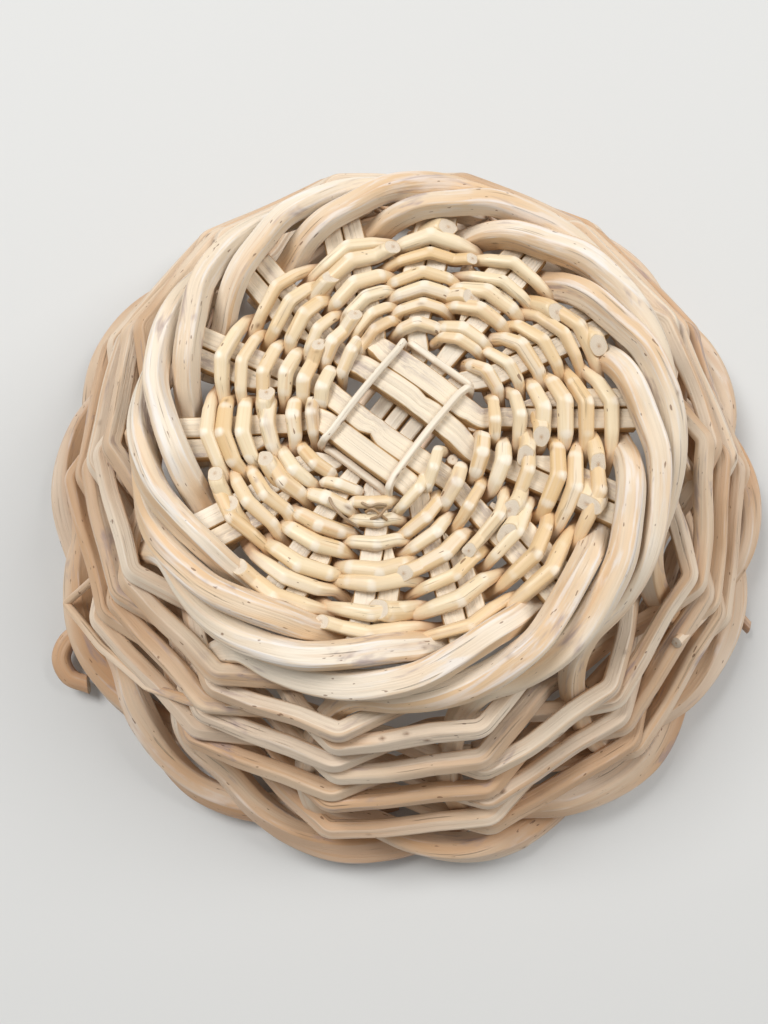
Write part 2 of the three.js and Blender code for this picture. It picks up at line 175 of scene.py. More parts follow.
# First seed of each group of pieces.
SEEDS = {
    "base_sticks": 11, "second_sticks": 12, "binding_rods": 13, "stakes": 100, "wale": 200,
    "pairing": 300, "cut_ends": 400, "loose_ends": 500, "bark_strands": 600}

# Notches in the outer base sticks, by number: place along the stick from its middle and depth, in
# millimetres, and the side.
NOTCHES = {2: (-1.5, 1.4, 1), 3: (4, 0.7, -1)}
NOTCH_HALF_LENGTH = 3.5 * MM

# Cut ends of weavers on the base's outer face: azimuth in degrees, then radius, width and thickness in
# millimetres.
CUT_ENDS = (
    (171.9, 36.7, 4.6, 3.8), (-159.8, 36.9, 4.4, 3.8), (-160.5, 51.8, 4.4, 3.6), (-94.7, 51.3, 5.4, 4.4),
    (-15.3, 34.8, 4.6, 4.0), (-11.1, 52.0, 4.6, 4.2), (-23.4, 53.6, 8.4, 3.0), (-38.9, 38.3, 4.6, 4.2),
    (-46.5, 41.7, 5.6, 4.4), (-5.5, 37.7, 4.6, 4.0), (63.4, 39.4, 4.4, 3.8), (24, 57.0, 5.0, 4.2),
    (38.3, 51.3, 4.6, 4.0), (-150.4, 51.0, 4.4, 3.8), (80, 57.5, 4.6, 4.2), (118, 45.0, 4.4, 3.8))

# Loose ends of rods: name, thickness, bend at their corners (none where they curl) and the places that
# they pass, in millimetres.
LOOSE_ENDS = (
    ("left_tail", 3.1, 1.6, (
        (-38, -74, 60), (-56, -74, 51), (-73, -69.5, 40), (-92, -57, 29), (-107.5, -42.5, 21),
        (-96, -36, 31), (-88, -30, 38))),
    ("right_tail", 3.0, 1.6, (
        (80, -52, 49), (91.5, -42, 38), (101, -31, 27), (110, -21.5, 16), (99, -19, 33), (88, -16, 46))),
    ("left_curl", 6.2, 0, (
        (-97, -48, 6), (-104, -49, 6.8), (-110, -52.5, 7.6), (-112, -58.5, 7.6), (-109, -64.5, 6.6),
        (-102.5, -67, 5.4))),
    ("right_stub", 4.2, 1.6, ((103, -26, 5), (110.5, -33, 5.2), (117, -40, 5))))

# Torn strands of bark: the places that they pass, in millimetres.
BARK_STRANDS = (
    ((-18.6, -19.9, 80), (-17.3, -22.4, 83), (-16.4, -25, 84.2), (-14.7, -27.1, 84.4), (-12.7, -28.7, 84),
     (-9.6, -30.2, 82)),
    ((-8.4, -24.3, 83), (-6.2, -25.4, 84.2), (-4.1, -24.9, 84.4), (-2, -24.8, 83.4)),
    ((-7.4, -26.6, 83), (-5.5, -26.2, 84.4), (-3.7, -27.4, 84.3), (-1.9, -28.5, 83)),
    ((-6.1, -28.4, 83), (-3.9, -28, 84.6), (-2.1, -26, 84.2), (-0.5, -25.1, 83)))

# The finish of each material slot.
FINISH_NAMES = {
    "split_stick": "split_willow", "base_weaver": "honey_willow",
    "stake": "cream_willow", "wale_rod": "beige_willow"}

# Noises on the rods' own grain: scale along and around the rod, detail, roughness and distortion. Those
# that make patches also have the values at which a patch starts and is full.
NOISES = {
    "stretch": (16, 90, 1.5, 0.5, 0.0, 0.38, 0.62),
    "veil": (60, 420, 3.0, 0.6, 0.3),
    "fibre": (30, 1700, 3.5, 0.66, 0.0),
    "amber": (22, 620, 2.0, 0.5, 0.0, 0.57, 0.72),
    "crack": (26, 1500, 1.5, 0.5, 0.0, 0.68, 0.74),
    "scuff_and_sheen": (70, 200, 3.0, 0.6, 0.0, 0.4, 0.62),
    "bruise": (40, 190, 3.5, 0.65, 0.5, 0.58, 0.72),
    "dirt": (24, 330, 3.0, 0.6, 0.0, 0.42, 0.62),
    "speck": (380, 1100, 1.0, 0.4, 0.0, 0.725, 0.78),
    "rings": (900, 1700, 3.0, 0.65, 0.0, 0.35, 0.7),
    "dents": (200, 420, 2.0, 0.5, 0.0),
    "split_fibre": (26, 3000, 3.0, 0.6, 0.0),
    "band": (12, 700, 2.0, 0.5, 0.0, 0.4, 0.66),
    "smear": (110, 420, 4.0, 0.7, 0.3),
    "smeared": (34, 130, 1.5, 0.5, 0.0, 0.45, 0.68),
    "split": (24, 1100, 1.5, 0.5, 0.0, 0.72, 0.77)}

# Amounts of each mark on the honey, cream and beige willow; the ridge, bend and wear marks are partly painted
# highlights. Skin takes a painted shade, full below the lower of its two heights and gone above the upper.
LOOKS = {
    "shaved": (0.45, 0.75, 0.5),
    "fibre": (0.22, 0.3, 0.4),
    "amber": (0.3, 0.25, 0.25),
    "crack": (0.2, 0.35, 0.35),
    "ridge": (0.12, 0.3, 0.15),
    "bend": (0.7, 0.3, 0.15),
    "bruise": (0.25, 0.7, 0.7),
    "speck": (0.75, 0.7, 0.7),
    "roughness": (0.27, 0.4, 0.44),
    "relief": (0.00018, 0.0003, 0.0003),
    "specular": (0.5, 0.4, 0.35),
    "grainy": (0.45, 0.8, 0.8),
    "low_shade": (77.5 * MM, 8 * MM, 10 * MM),
    "light": (82 * MM, 70 * MM, 66 * MM),
    "dark": (0.75, 0.75, 0.5),
    "wear_and_sheen": (0.0, 0.4, 0.0)}
# Heights of the painted highlight on the foot ring's top, which has the look of wear.
WEAR_AND_SHEEN_HEIGHTS = (80 * MM, 87 * MM)
DIRT_HEIGHTS = (2 * MM, 12 * MM)

# The stage: each lamp's name, place, width and power, the world and the floor, then the camera's place and
# aim in millimetres, its turn in degrees, and its lens.
LAMPS = (("key_lamp", (-0.6, 0.4, 1.2), 0.6, 12.2), ("fill_lamp", (0.8, 0.35, 1.0), 0.7, 7.8))
LAMP_AIM = (0, 0, 0.03)
WORLD_STRENGTH = 0.3
FLOOR_HALF = 4.0
CAMERA_STAND = (2.2, -74.6, 318)
CAMERA_AIM = (-6.2, -5.2, 9)
CAMERA_TURN = 2.2
CAMERA_LENS = 32.6
CAMERA_NEAREST = 0.01

# Sizes in millimetres that a user may change: those of the frame, and the photo's where it is plainer.
SIZES = {
    "rim_radius": (120, "Outermost radius of the rim"),
    "foot_radius": (76, "Outermost radius of the foot ring"),
    "stick_thickness": (4.4, "Split base sticks, seen from the side"),
    "outer_stick_width": (6.5, "Four outer base sticks in the middle"),
    "inner_stick_width": (4.8, "Three inner base sticks in the middle"),
    "arm_width": (5.8, "Base sticks where they are arms"),
    "pair_gap": (5.5, "Gap between the two pairs of outer sticks"),
    "stick_gap": (0.3, "Gap between the two outer sticks of a pair"),
    "inner_pitch": (6.3, "From one inner stick to the next"),
    "outer_straight": (13, "Straight half length of the outer sticks"),
    "outer_arm_start": (25, "Radius where an outer stick is an arm"),
    "inner_straight": (17.7, "Straight half length of the inner sticks"),
    "inner_arm_start": (26.5, "Radius where an inner stick is an arm"),
    "second_start": (33, "Radius of the second sticks' points"),
    "second_full": (42, "Radius where they have their full width"),
    "second_width": (5.5, "Full width of a second stick"),
    "second_point": (1.2, "Width at the point"),
    "binding_thickness": (2.6, "Thickness of the binding rods"),
    "weave_along": (16.4, "Half length of the pairing's first round, along the outer sticks"),
    "weave_across": (21.6, "Half width of that round"),
    "weave_growth": (2.6, "How far the last round reaches in under the foot ring"),
    "weaver_width": (4.1, "Width of a weaver over an arm"),
    "weaver_middle": (3.2, "Width of a weaver between two arms"),
    "weaver_fullness": (3.7, "Thickness of a weaver between two arms"),
    "weaver_spread": (1.6, "How far a weaver strays to each side of its round"),
    "weaver_squeeze": (1.5, "Width that the frame's weavers have between two arms"),
    "weaver_tip": (3.3, "Width of a weaver in the first round"),
    "weaver_thickness": (2.7, "Thickness of a weaver over an arm"),
    "weaver_drift": (1.3, "How far two crossing weavers lie to each side of their line"),
    "foot_rod": (7.3, "Thickness of a stake in the foot ring"),
    "wall_rod": (7.6, "Thickness of a stake in the wall"),
    "rim_rod": (9.4, "Thickness of a stake in the rim"),
    "wale_rod": (5.2, "Thickness of the wall's weavers"),
    "wale_row": (14.6, "From one round of the wale to the next"),
    "wale_start": (3.2, "From the wall's top to the first round"),
    "wale_clearance": (0.65, "Gap between a wale rod and what it passes"),
    "wale_end_room": (12.3, "From the last round to the wall's foot")}

# Screen colours of 0 to 255 that a user may change.
COLOURS = {
    "stick": (240, 223, 197, "Flat faces of the base sticks"),
    "stick_side": (206, 168, 118, "Narrow faces of the base sticks"),
    "stick_stain": (170, 154, 148, "Grey streaks on the base sticks"),
    "honey": (226, 193, 144, "Weavers of the base"),
    "honey_pale": (236, 216, 180, "Lighter stretches of those weavers"),
    "cream": (233, 215, 190, "Stakes in the foot ring and rim"),
    "peach": (225, 192, 153, "Stretches of the stakes where their skin is left"),
    "beige": (226, 199, 168, "Wale rods"),
    "beige_tan": (206, 168, 130, "Darker stretches of the wale rods"),
    # Painted shade, laid on the skin low down.
    "tan": (200, 154, 114, "Skin low down and out of the light"),
    "bone": (240, 228, 208, "Binding rods and the palest rods"),
    "shaved": (243, 232, 214, "Faces where the rods are shaved"),
    # Painted highlight: the bluish white of light caught on ridges and on the foot ring's top.
    "ridge": (236, 236, 238, "Edges between two shaved faces"),
    "amber": (204, 148, 88, "Orange streaks along the grain"),
    "bruise": (164, 144, 142, "Grey and purple blotches"),
    "dirt": (132, 98, 86, "Streaks low on the rim"),
    "scar": (112, 72, 42, "Bud scars and specks"),
    "pith": (190, 150, 106, "Middle of a cut end"),
    "floor": (214, 214, 212, "Floor and backdrop")}


def label(name):
    """What a user sees for a name."""
    return name.replace("_", " ").capitalize()


def size(name, millimetres, description):
    """A length that a user may change, with its default in millimetres."""
    return bpy.props.FloatProperty(
        name=label(name), description=description, default=millimetres * MM, unit="LENGTH", precision=5)


def colour(name, red, green, blue, description):
    """A colour that a user may change. Its default is turned from a screen colour c into linear light:
    ((c + 0.055) / 1.055) ** 2.4 above the dark end."""
    shares = np.array([red, green, blue]) / 255
    light = np.where(shares > 0.04045, ((shares + 0.055) / 1.055) ** 2.4, shares / 12.92)
    return bpy.props.FloatVectorProperty(
        name=label(name), description=description, default=light.tolist(), subtype="COLOR", size=3)


class BasketSizes(bpy.types.PropertyGroup):
    """Sizes of the basket: SIZES, and those that aren't plain lengths."""

    __annotations__ = {name: size(name, *row) for name, row in SIZES.items()}
    height: bpy.props.FloatProperty(
        name="Height", description="From the rim's rest to the top of the foot ring",
        default=CAD_BOX[1].z - CAD_BOX[0].z, unit="LENGTH", precision=5)
    slath_azimuth: bpy.props.FloatProperty(
        name="Slath azimuth", description="Direction of the base sticks that lie outside",
        default=math.radians(-35.5), subtype="ANGLE")
    weave_rounds: bpy.props.FloatProperty(
        name="Weave rounds", description="Rounds of pairing in the base", default=6.5)


class BasketColours(bpy.types.PropertyGroup):
    """Colours of the peeled and split willow."""

    __annotations__ = {name: colour(name, *row) for name, row in COLOURS.items()}


def maths(operation, swapped=False):
    """An operator of Socket: adds a Math node, with its two values swapped for a reflected form."""
    def combine(self, other):
        first, second = (other, self) if swapped else (self, other)
        return self.finish.node("ShaderNodeMath", {"operation": operation}, {0: first, 1: second})
    return combine


class Socket:
    """Wraps a shader socket, so that sums and products on it are written as Python expressions."""

    __add__, __radd__ = maths("ADD"), maths("ADD", swapped=True)
    __sub__, __rsub__ = maths("SUBTRACT"), maths("SUBTRACT", swapped=True)
    __mul__, __rmul__ = maths("MULTIPLY"), maths("MULTIPLY", swapped=True)

    def __init__(self, finish, socket):
        self.finish = finish
        self.socket = socket


class Finish:
    """A material under construction: one Principled shader and the nodes that feed it."""

    def __init__(self, name):
        self.material = bpy.data.materials.new(name)
        self.material.use_nodes = True
        self.tree = self.material.node_tree
        self.shader = self.tree.nodes["Principled BSDF"]

    def node(self, kind, settings=None, inputs=None, output=0):
        """Adds a node: its settings, then the values or links of its sockets. Returns one output."""
        node = self.tree.nodes.new(kind)
        for name, value in (settings or {}).items():
            setattr(node, name, value)
        for key, value in (inputs or {}).items():
            self.feed(node.inputs[key], value)
        return Socket(self, node.outputs[output])

    def feed(self, target, value):
        """Links a socket to an input, or sets the input to a value."""
        if isinstance(value, Socket):
            self.tree.links.new(value.socket, target)
        elif target.type == "RGBA" and not isinstance(value, (int, float)):
            target.default_value = (*value, 1)
        else:
            target.default_value = value

    def set(self, **inputs):
        """Sets or links inputs of the Principled shader, named in lower case with underscores."""
        for key, value in inputs.items():
            self.feed(self.shader.inputs[key.replace("_", " ").title().replace("Ior", "IOR")], value)

    def blend(self, share, first, second):
        """A colour between two, by a share."""
        return self.node("ShaderNodeMix", {"data_type": "RGBA"}, {0: share, 6: first, 7: second}, 2)

    def layered(self, tint, *layers):
        """A colour under layers of (share, colour), the last of them on top."""
        for share, paint in layers:
            tint = self.blend(share, tint, paint)
        return tint

    def attribute(self, name, output="Fac"):
        """What the mesh says of a place under a name."""
        return self.node("ShaderNodeAttribute", {"attribute_name": name}, output=output)

    def noise(self, name):
        """One of NOISES, on the rod's own coordinates."""
        along, around, detail, roughness, distortion, *_ = NOISES[name]
        grain = self.node("ShaderNodeMapping", {}, {
            "Vector": self.attribute("grain", "Vector"), "Scale": (along, around, around)})
        return self.node("ShaderNodeTexNoise", {}, {
            "Vector": grain, "Scale": 1.0, "Detail": detail, "Roughness": roughness,
            "Distortion": distortion})

    def patches(self, name):
        """Patches where one of NOISES is high."""
        return self.above(self.noise(name), *NOISES[name][5:])

    def above(self, value, low, high):
        """A smooth step from 0 at low to 1 at high."""
        return self.node("ShaderNodeMapRange", {"interpolation_type": "SMOOTHSTEP"}, {
            "Value": value, "From Min": low, "From Max": high, "To Min": 0.0, "To Max": 1.0})

    def marks(self, index):
        """What the mesh says of a place: 0 how shaved its face is, 1 its nearness to a ridge, 2 its bend."""
        return self.node("ShaderNodeSeparateXYZ", {}, {"Vector": self.attribute("marks", "Vector")}, index)

    def height(self):
        """Height above the floor, in metres."""
        place = self.node("ShaderNodeTexCoord", output="Object")
        return self.node("ShaderNodeSeparateXYZ", {}, {"Vector": place}, 2)

    def bump(self, height, distance):
        """Normals of a surface raised by a distance where height is 1."""
        return self.node("ShaderNodeBump", {}, {"Height": height, "Distance": distance, "Strength": 1.0})


def darker(paint, share):
    """A colour with each of its parts times a share."""
    return tuple(share * part for part in paint)


def willow(name, skin, second, colours, look):
    """Peeled willow: long stretches of two skin colours, paler shaved faces, rubbed ridges and a foot ring's
    top with a painted bluish-white highlight, amber streaks and dark cracks along the grain, bruises, specks
    and bud scars, painted shade low down, white where it bends (paler stretched skin with a painted
    highlight), and a cut end with its pith, painted paler to look lit. "look" holds the amounts."""
    finish = Finish(name)
    facet, ridge, bend = finish.marks(0), finish.marks(1), finish.marks(2)
    height, scar, cut = finish.height(), finish.attribute("scar"), finish.attribute("cut")
    veil, fibre = finish.noise("veil"), finish.noise("fibre")
    stretch, crack, rings = finish.patches("stretch"), finish.patches("crack"), finish.patches("rings")
    shaved_face = finish.above(facet + veil * 0.2, 0.42, 0.78)
    # Painted shade: darker low down, where the weavers dive under the arms and, on the wall and rim, towards
    # the floor.
    low_shade = 1 - finish.above(height, look["low_shade"], look["light"])
    # Painted highlight with the look of wear: bluish white on the foot ring's top, where the light falls.
    wear_and_sheen = finish.above(height, *WEAR_AND_SHEEN_HEIGHTS) * finish.above(veil + ridge * 0.15, 0.5, 0.66)
    # The cut face is pale wood, painted paler still as painted light, to look lit where it faces away from
    # the lamps.
    end = finish.layered(
        finish.blend(0.9, skin, colours.shaved),
        (finish.above(cut + rings * 0.2, 0.7, 1.1) * 0.7, colours.pith),
        (rings * 0.4, colours.pith))
    tint = finish.layered(
        finish.blend(stretch, skin, second),
        (finish.attribute("bone"), colours.bone),
        (shaved_face * look["shaved"], colours.shaved),
        # Painted shade, in the colour of skin out of the light.
        (low_shade * look["dark"] * (stretch * 0.5 + 0.5), colours.tan),
        (finish.above(fibre, 0.45, 0.75) * look["fibre"], darker(skin, 0.68)),
        (finish.patches("amber") * look["amber"], colours.amber),
        (crack * look["crack"], darker(skin, 0.36)),
        # Rubbed ridges with a painted bluish-white highlight where the light catches them.
        (finish.above(ridge, 0.25, 0.8) * finish.patches("scuff_and_sheen") * look["ridge"], colours.ridge),
        (wear_and_sheen * look["wear_and_sheen"], colours.ridge),
        # White at a kink: partly the paler stretched skin, partly a painted highlight on the kink's crown.
        (finish.above(bend + veil * 0.5, 0.4, 0.9) * look["bend"], colours.shaved),
        (finish.patches("bruise") * look["bruise"], colours.bruise),
        ((1 - finish.above(height, *DIRT_HEIGHTS)) * finish.patches("dirt") * 0.75, colours.dirt),
        (finish.patches("speck") * look["speck"], colours.scar),
        (scar * 0.8, colours.scar),
        (finish.above(cut, 0.05, 0.1), end))
    relief = fibre * look["grainy"] + finish.noise("dents") * 0.35 + crack * -0.8 + scar * 0.8
    finish.set(
        base_color=tint,
        roughness=look["roughness"] + veil * 0.22 + shaved_face * 0.08,
        normal=finish.bump(relief, look["relief"]),
        specular_ior_level=look["specular"])


def split_willow(name, colours):
    """Split willow: pale faces with fine straight fibres and grey stains along them, honey sides, dark
    splits, and darker ends."""
    finish = Finish(name)
    fibre, band, split = finish.noise("split_fibre"), finish.patches("band"), finish.patches("split")
    face = finish.layered(
        colours.stick,
        (band, darker(colours.stick, 0.86)),
        (finish.above(fibre, 0.45, 0.7) * 0.4, colours.shaved),
        (finish.above(finish.noise("smear"), 0.4, 0.62) * finish.patches("smeared") * 0.75,
         colours.stick_stain),
        (split * 0.5, darker(colours.stick, 0.45)),
        # Painted light: paler faces, which only the inner sticks get, as they lie lower in the outer sticks'
        # shade.
        (finish.attribute("bone"), colours.shaved))
    tint = finish.layered(
        colours.stick_side,
        (finish.above(fibre, 0.4, 0.7), darker(colours.stick_side, 0.6)),
        (finish.above(finish.marks(0), 0.35, 0.6), face),
        (finish.above(finish.attribute("cut"), 0.05, 0.1) * 0.7, darker(colours.stick, 0.55)))
    finish.set(
        base_color=tint,
        roughness=0.5 + fibre * 0.3,
        normal=finish.bump(fibre * 0.8 + band * 0.5 + split * -0.7, 0.0003))


def make_finishes(colours):
    """The four finishes of the basket."""
    split_willow("split_willow", colours)
    skins = (
        ("honey_willow", colours.honey, colours.honey_pale),
        ("cream_willow", colours.cream, colours.peach),
        ("beige_willow", colours.beige, colours.beige_tan))
    for column, (name, skin, second) in enumerate(skins):
        willow(name, skin, second, colours, {mark: amounts[column] for mark, amounts in LOOKS.items()})


def around(radius, angle, height):
    """Points from radius, azimuth and height: (r cos a, r sin a, z)."""
    radius, angle, height = np.broadcast_arrays(radius, angle, height)
    return np.stack([radius * np.cos(angle), radius * np.sin(angle), height], -1)


def leaning(angle, lean):
    """Directions in the upright plane at an azimuth, leaning up by an angle from the outward one."""
    return around(np.cos(lean), angle, np.sin(lean))


def smoothstep(value, low, high):
    """From 0 at low to 1 at high, flat at both: s^2 (3 - 2 s), with s the share of the way."""
    share = np.clip((value - low) / (high - low), 0, 1)
    return share * share * (3 - 2 * share)


def lerp(first, second, share):
    """The value at a share of the way from the first to the second."""
    return first + (second - first) * share


def wander(places, rng, height, length, waves=4):
    """A smooth random line of about a height: the sum of sines whose wavelengths lie round length, over
    the root of their number."""
    total = np.zeros_like(places)
    for _ in range(waves):
        wavelength = length * rng.uniform(*WAVE_SPREAD)
        total += np.sin(2 * math.pi * places / wavelength + rng.uniform(0, 2 * math.pi))
    return height * (total / math.sqrt(waves))


def route(points, across, half_width, half_thickness):
    """One row a station: the point, the direction of the section's wide axis, and its two half sizes."""
    points = np.asarray(points, float)
    count = len(points)
    return np.column_stack([
        points,
        np.broadcast_to(across, (count, 3)),
        np.broadcast_to(half_width, count),
        np.broadcast_to(half_thickness, count),
    ])


def run_lengths(points):
    """Length run along a polyline up to each of its points."""
    steps = np.linalg.norm(np.diff(points, axis=0), axis=1)
    return np.concatenate([[0], np.cumsum(steps)])


def smooth_route(stations, step):
    """Cubic Hermite curve through the stations. The parameter is the chord length run, and a station's
    slope is that of the parabola through it and its two neighbours."""
    run = run_lengths(stations[:, :3])
    slope = np.gradient(stations, run, axis=0)
    at = np.linspace(0, run[-1], int(run[-1] / step) + 2)
    first = np.clip(np.searchsorted(run, at, side="right") - 1, 0, len(run) - 2)
    gap = (run[first + 1] - run[first])[:, None]
    x = (at - run[first])[:, None] / gap
    return ((2 * x**3 - 3 * x**2 + 1) * stations[first] + (x**3 - 2 * x**2 + x) * gap * slope[first]
            + (3 * x**2 - 2 * x**3) * stations[first + 1] + (x**3 - x**2) * gap * slope[first + 1])


def creased_route(stations, step, bend, fineness=4):
    """Straight runs between the stations with rounded corners: the running mean of the polyline over
    twice the length "bend", which turns a corner into a parabola."""
    run = run_lengths(stations[:, :3])
    fine = np.linspace(0, run[-1], int(run[-1] / step) * fineness + 2)
    straight = np.stack([np.interp(fine, run, column) for column in stations.T], -1)
    areas = (straight[1:] + straight[:-1]) / 2 * np.diff(fine)[:, None]
    total = np.concatenate([np.zeros((1, stations.shape[1])), np.cumsum(areas, axis=0)])
    at = np.linspace(0, run[-1], int(run[-1] / step) + 2)
    reach = np.minimum(np.minimum(at, run[-1] - at) + step * 0.1, bend)
    low, high = at - reach, at + reach
    low, high = np.maximum(low, 0), np.minimum(high, run[-1])
    sums = [np.interp(high, fine, column) - np.interp(low, fine, column) for column in total.T]
    return np.stack(sums, -1) / (high - low)[:, None]


def settled(points):
    """Where a place of the true basket lies in the photographed one: (x, y + lean z, z), as it leans
    back a little, and near the middle of the base aside, as the slath isn't quite in the middle."""
    radius = np.hypot(points[:, 0], points[:, 1])
    share = (1 - smoothstep(radius, 0, SLATH_REACH)) * smoothstep(points[:, 2], *SLATH_HEIGHTS)
    moved = points.copy()
    moved[:, :2] += share[:, None] * SLATH_ASIDE
    moved[:, 1] += LEAN * points[:, 2]
    return moved


def unsteady(line, amount, rng):
    """The same route with a slow random sway along each axis and in its thickness."""
    run = run_lengths(line[:, :3])
    line[:, :3] += np.stack([wander(run, rng, amount, SWAY_LENGTH) for _ in range(3)], -1)
    line[:, 6:] *= 1 + wander(run, rng, *THICKNESS_SWAY)[:, None]
    return line


def unit(vectors):
    """The vectors over their own lengths."""
    return vectors / np.linalg.norm(vectors, axis=-1, keepdims=True)


def section_frame(line):
    """Along a route: the tangent T, the wide axis A squared to it, and B = T x A."""
    tangent = unit(np.gradient(line[:, :3], axis=0))
    across = line[:, 3:6] - tangent * np.sum(line[:, 3:6] * tangent, -1, keepdims=True)
    across = unit(across)
    return tangent, across, np.cross(tangent, across)


def carried_axis(points):
    """An axis square to the path that turns with it: each step drops the part along the new tangent."""
    axis = np.array([0.0, 0.0, 1.0])
    carried = []
    for direction in unit(np.gradient(points, axis=0)):
        axis = axis - direction * np.dot(axis, direction)
        axis /= np.linalg.norm(axis)
        carried.append(axis)
    return np.array(carried)


def laid(points, half_width, half_thickness, step, bend=0):
    """A fine route through given places, creased at them or smooth, with its axes carried along."""
    line = route(points, (0, 0, 1), half_width, half_thickness)
    line = creased_route(line, step, bend) if bend else smooth_route(line, step)
    line[:, 3:6] = carried_axis(line[:, :3])
    return line


def shaved(run, turn, rng, flats, depth, growth, sharpness):
    """Section of a peeled rod: a circle cut by a few flats that wander slowly along the rod. A flat at
    distance d in direction f leaves the radius d / cos(turn - f), and the least of all is taken softly,
    as -log(sum of exp(-k cut)) / k. Gives that radius, how shaved each face is, and where two meet."""
    cuts = [np.full((len(run), len(turn)), ROUND_CUT)]
    shares = [np.full_like(cuts[0], ROUND_SHARE)]
    for flat in range(flats):
        stray = rng.uniform(-FLAT_JITTER, FLAT_JITTER)
        facing = 2 * math.pi * (flat + stray) / flats + wander(run, rng, *FLAT_TURN)
        distance = 1 - depth * (rng.uniform(LEAST_DEPTH, 1) + wander(run, rng, *FLAT_DEPTH))
        cosine = np.cos(turn[None, :] - facing[:, None])
        cut = distance[:, None] / np.maximum(cosine, LEAST_COSINE)
        cuts.append(np.where(cosine > LEAST_COSINE, cut, FAR_CUT))
        share = rng.uniform(0, 1) ** SHARE_POWER + wander(run, rng, *FLAT_SHARE)
        shares.append(np.broadcast_to(share[:, None], cuts[0].shape))
    weights = np.exp(-sharpness * np.array(cuts))
    total = weights.sum(0)
    radius = -np.log(total) / sharpness
    facet = (weights * np.array(shares)).sum(0) / total
    nearest = np.sort(np.array(cuts), axis=0)
    ridge = np.exp(-(((nearest[1] - nearest[0]) / RIDGE_WIDTH) ** 2))
    return radius * growth, facet, ridge


def squared(run, turn, rng):
    """Section of a split stick: a rounded square, 1 / (|cos|^p + |sin|^p)^(1/p), a little uneven. Its
    wide faces are the shaved ones."""
    wide, high = np.abs(np.cos(turn)), np.abs(np.sin(turn))
    square = (wide**STICK_POWER + high**STICK_POWER) ** (-1 / STICK_POWER)
    uneven = wander(run, rng, *STICK_BULGE)[:, None] * np.cos(2 * turn[None, :])
    for waves in RIPPLES:
        phase = rng.uniform(0, 2 * math.pi) + wander(run, rng, *RIPPLE_TURN)[:, None]
        uneven = uneven + RIPPLE_HEIGHT * np.cos(waves * turn[None, :] + phase)
    radius = square[None, :] * (1 + uneven)
    facet = np.broadcast_to((high > wide * FACE_EDGE).astype(float), radius.shape)
    return radius, facet, np.zeros_like(radius)


class Kind(NamedTuple):
    """A kind of rod. A piece whose name gets an ending stands for the frame's node of that name."""

    slot: str
    ending: str
    sides: int
    scar_spacing: float
    section: object
    spin: float = 0.0
    slant: float = 0.0


thin_section = partial(shaved, flats=4, depth=0.16, growth=1.0, sharpness=34.0)
weaver_section = partial(shaved, flats=4, depth=0.12, growth=1.04, sharpness=34.0)
stake_section = partial(shaved, flats=5, depth=0.24, growth=1.1, sharpness=110.0)
wale_section = partial(shaved, flats=4, depth=0.22, growth=1.1, sharpness=90.0)

KINDS = {
    "stick": Kind("split_stick", "_split", 40, 9.0, squared, spin=math.pi / 40),
    "binding_rod": Kind("base_weaver", "_willow", 20, 0.012, thin_section),
    "weaver": Kind("base_weaver", "_willow", 24, 0.03, weaver_section, slant=-1.0),
    "cut_end": Kind("base_weaver", "", 24, 0.03, weaver_section, slant=-1.1),
    "bark_strand": Kind("base_weaver", "", 10, 0.04, thin_section),
    "stake": Kind("stake", "_willow", 60, 0.07, stake_section),
    "wale_rod": Kind("wale_rod", "_willow", 40, 0.06, wale_section),
    "loose_end": Kind("wale_rod", "", 28, 0.04, wale_section, slant=0.6),
}


def bud_scars(run, turn, half_width, rng, spacing):
    """Bud scars: bell-shaped swellings about every "spacing", exp(-(along / a)^2 - (aside / b)^2), as
    (relative height, darkness) on the grid."""
    count = int(run[-1] / spacing * rng.uniform(*SCAR_SPREAD))
    swell = np.zeros((len(run), len(turn)))
    dark = np.zeros_like(swell)
    for _ in range(count):
        place = rng.uniform(0, run[-1])
        facing = rng.uniform(0, 2 * math.pi)
        aside = np.angle(np.exp(1j * (turn[None, :] - facing))) * half_width[:, None]
        along = (run - place)[:, None]
        big = rng.uniform(*SCAR_SIZES) ** 2
        swell += SWELL_HEIGHT * big * np.exp(-(along / SWELL_REACH[0]) ** 2 - (aside / SWELL_REACH[1]) ** 2)
        dark += (LEAST_DARKNESS + big) * np.exp(-(along / SPOT_REACH[0]) ** 2 - (aside / SPOT_REACH[1]) ** 2)
    return swell, np.clip(dark, 0, 1)


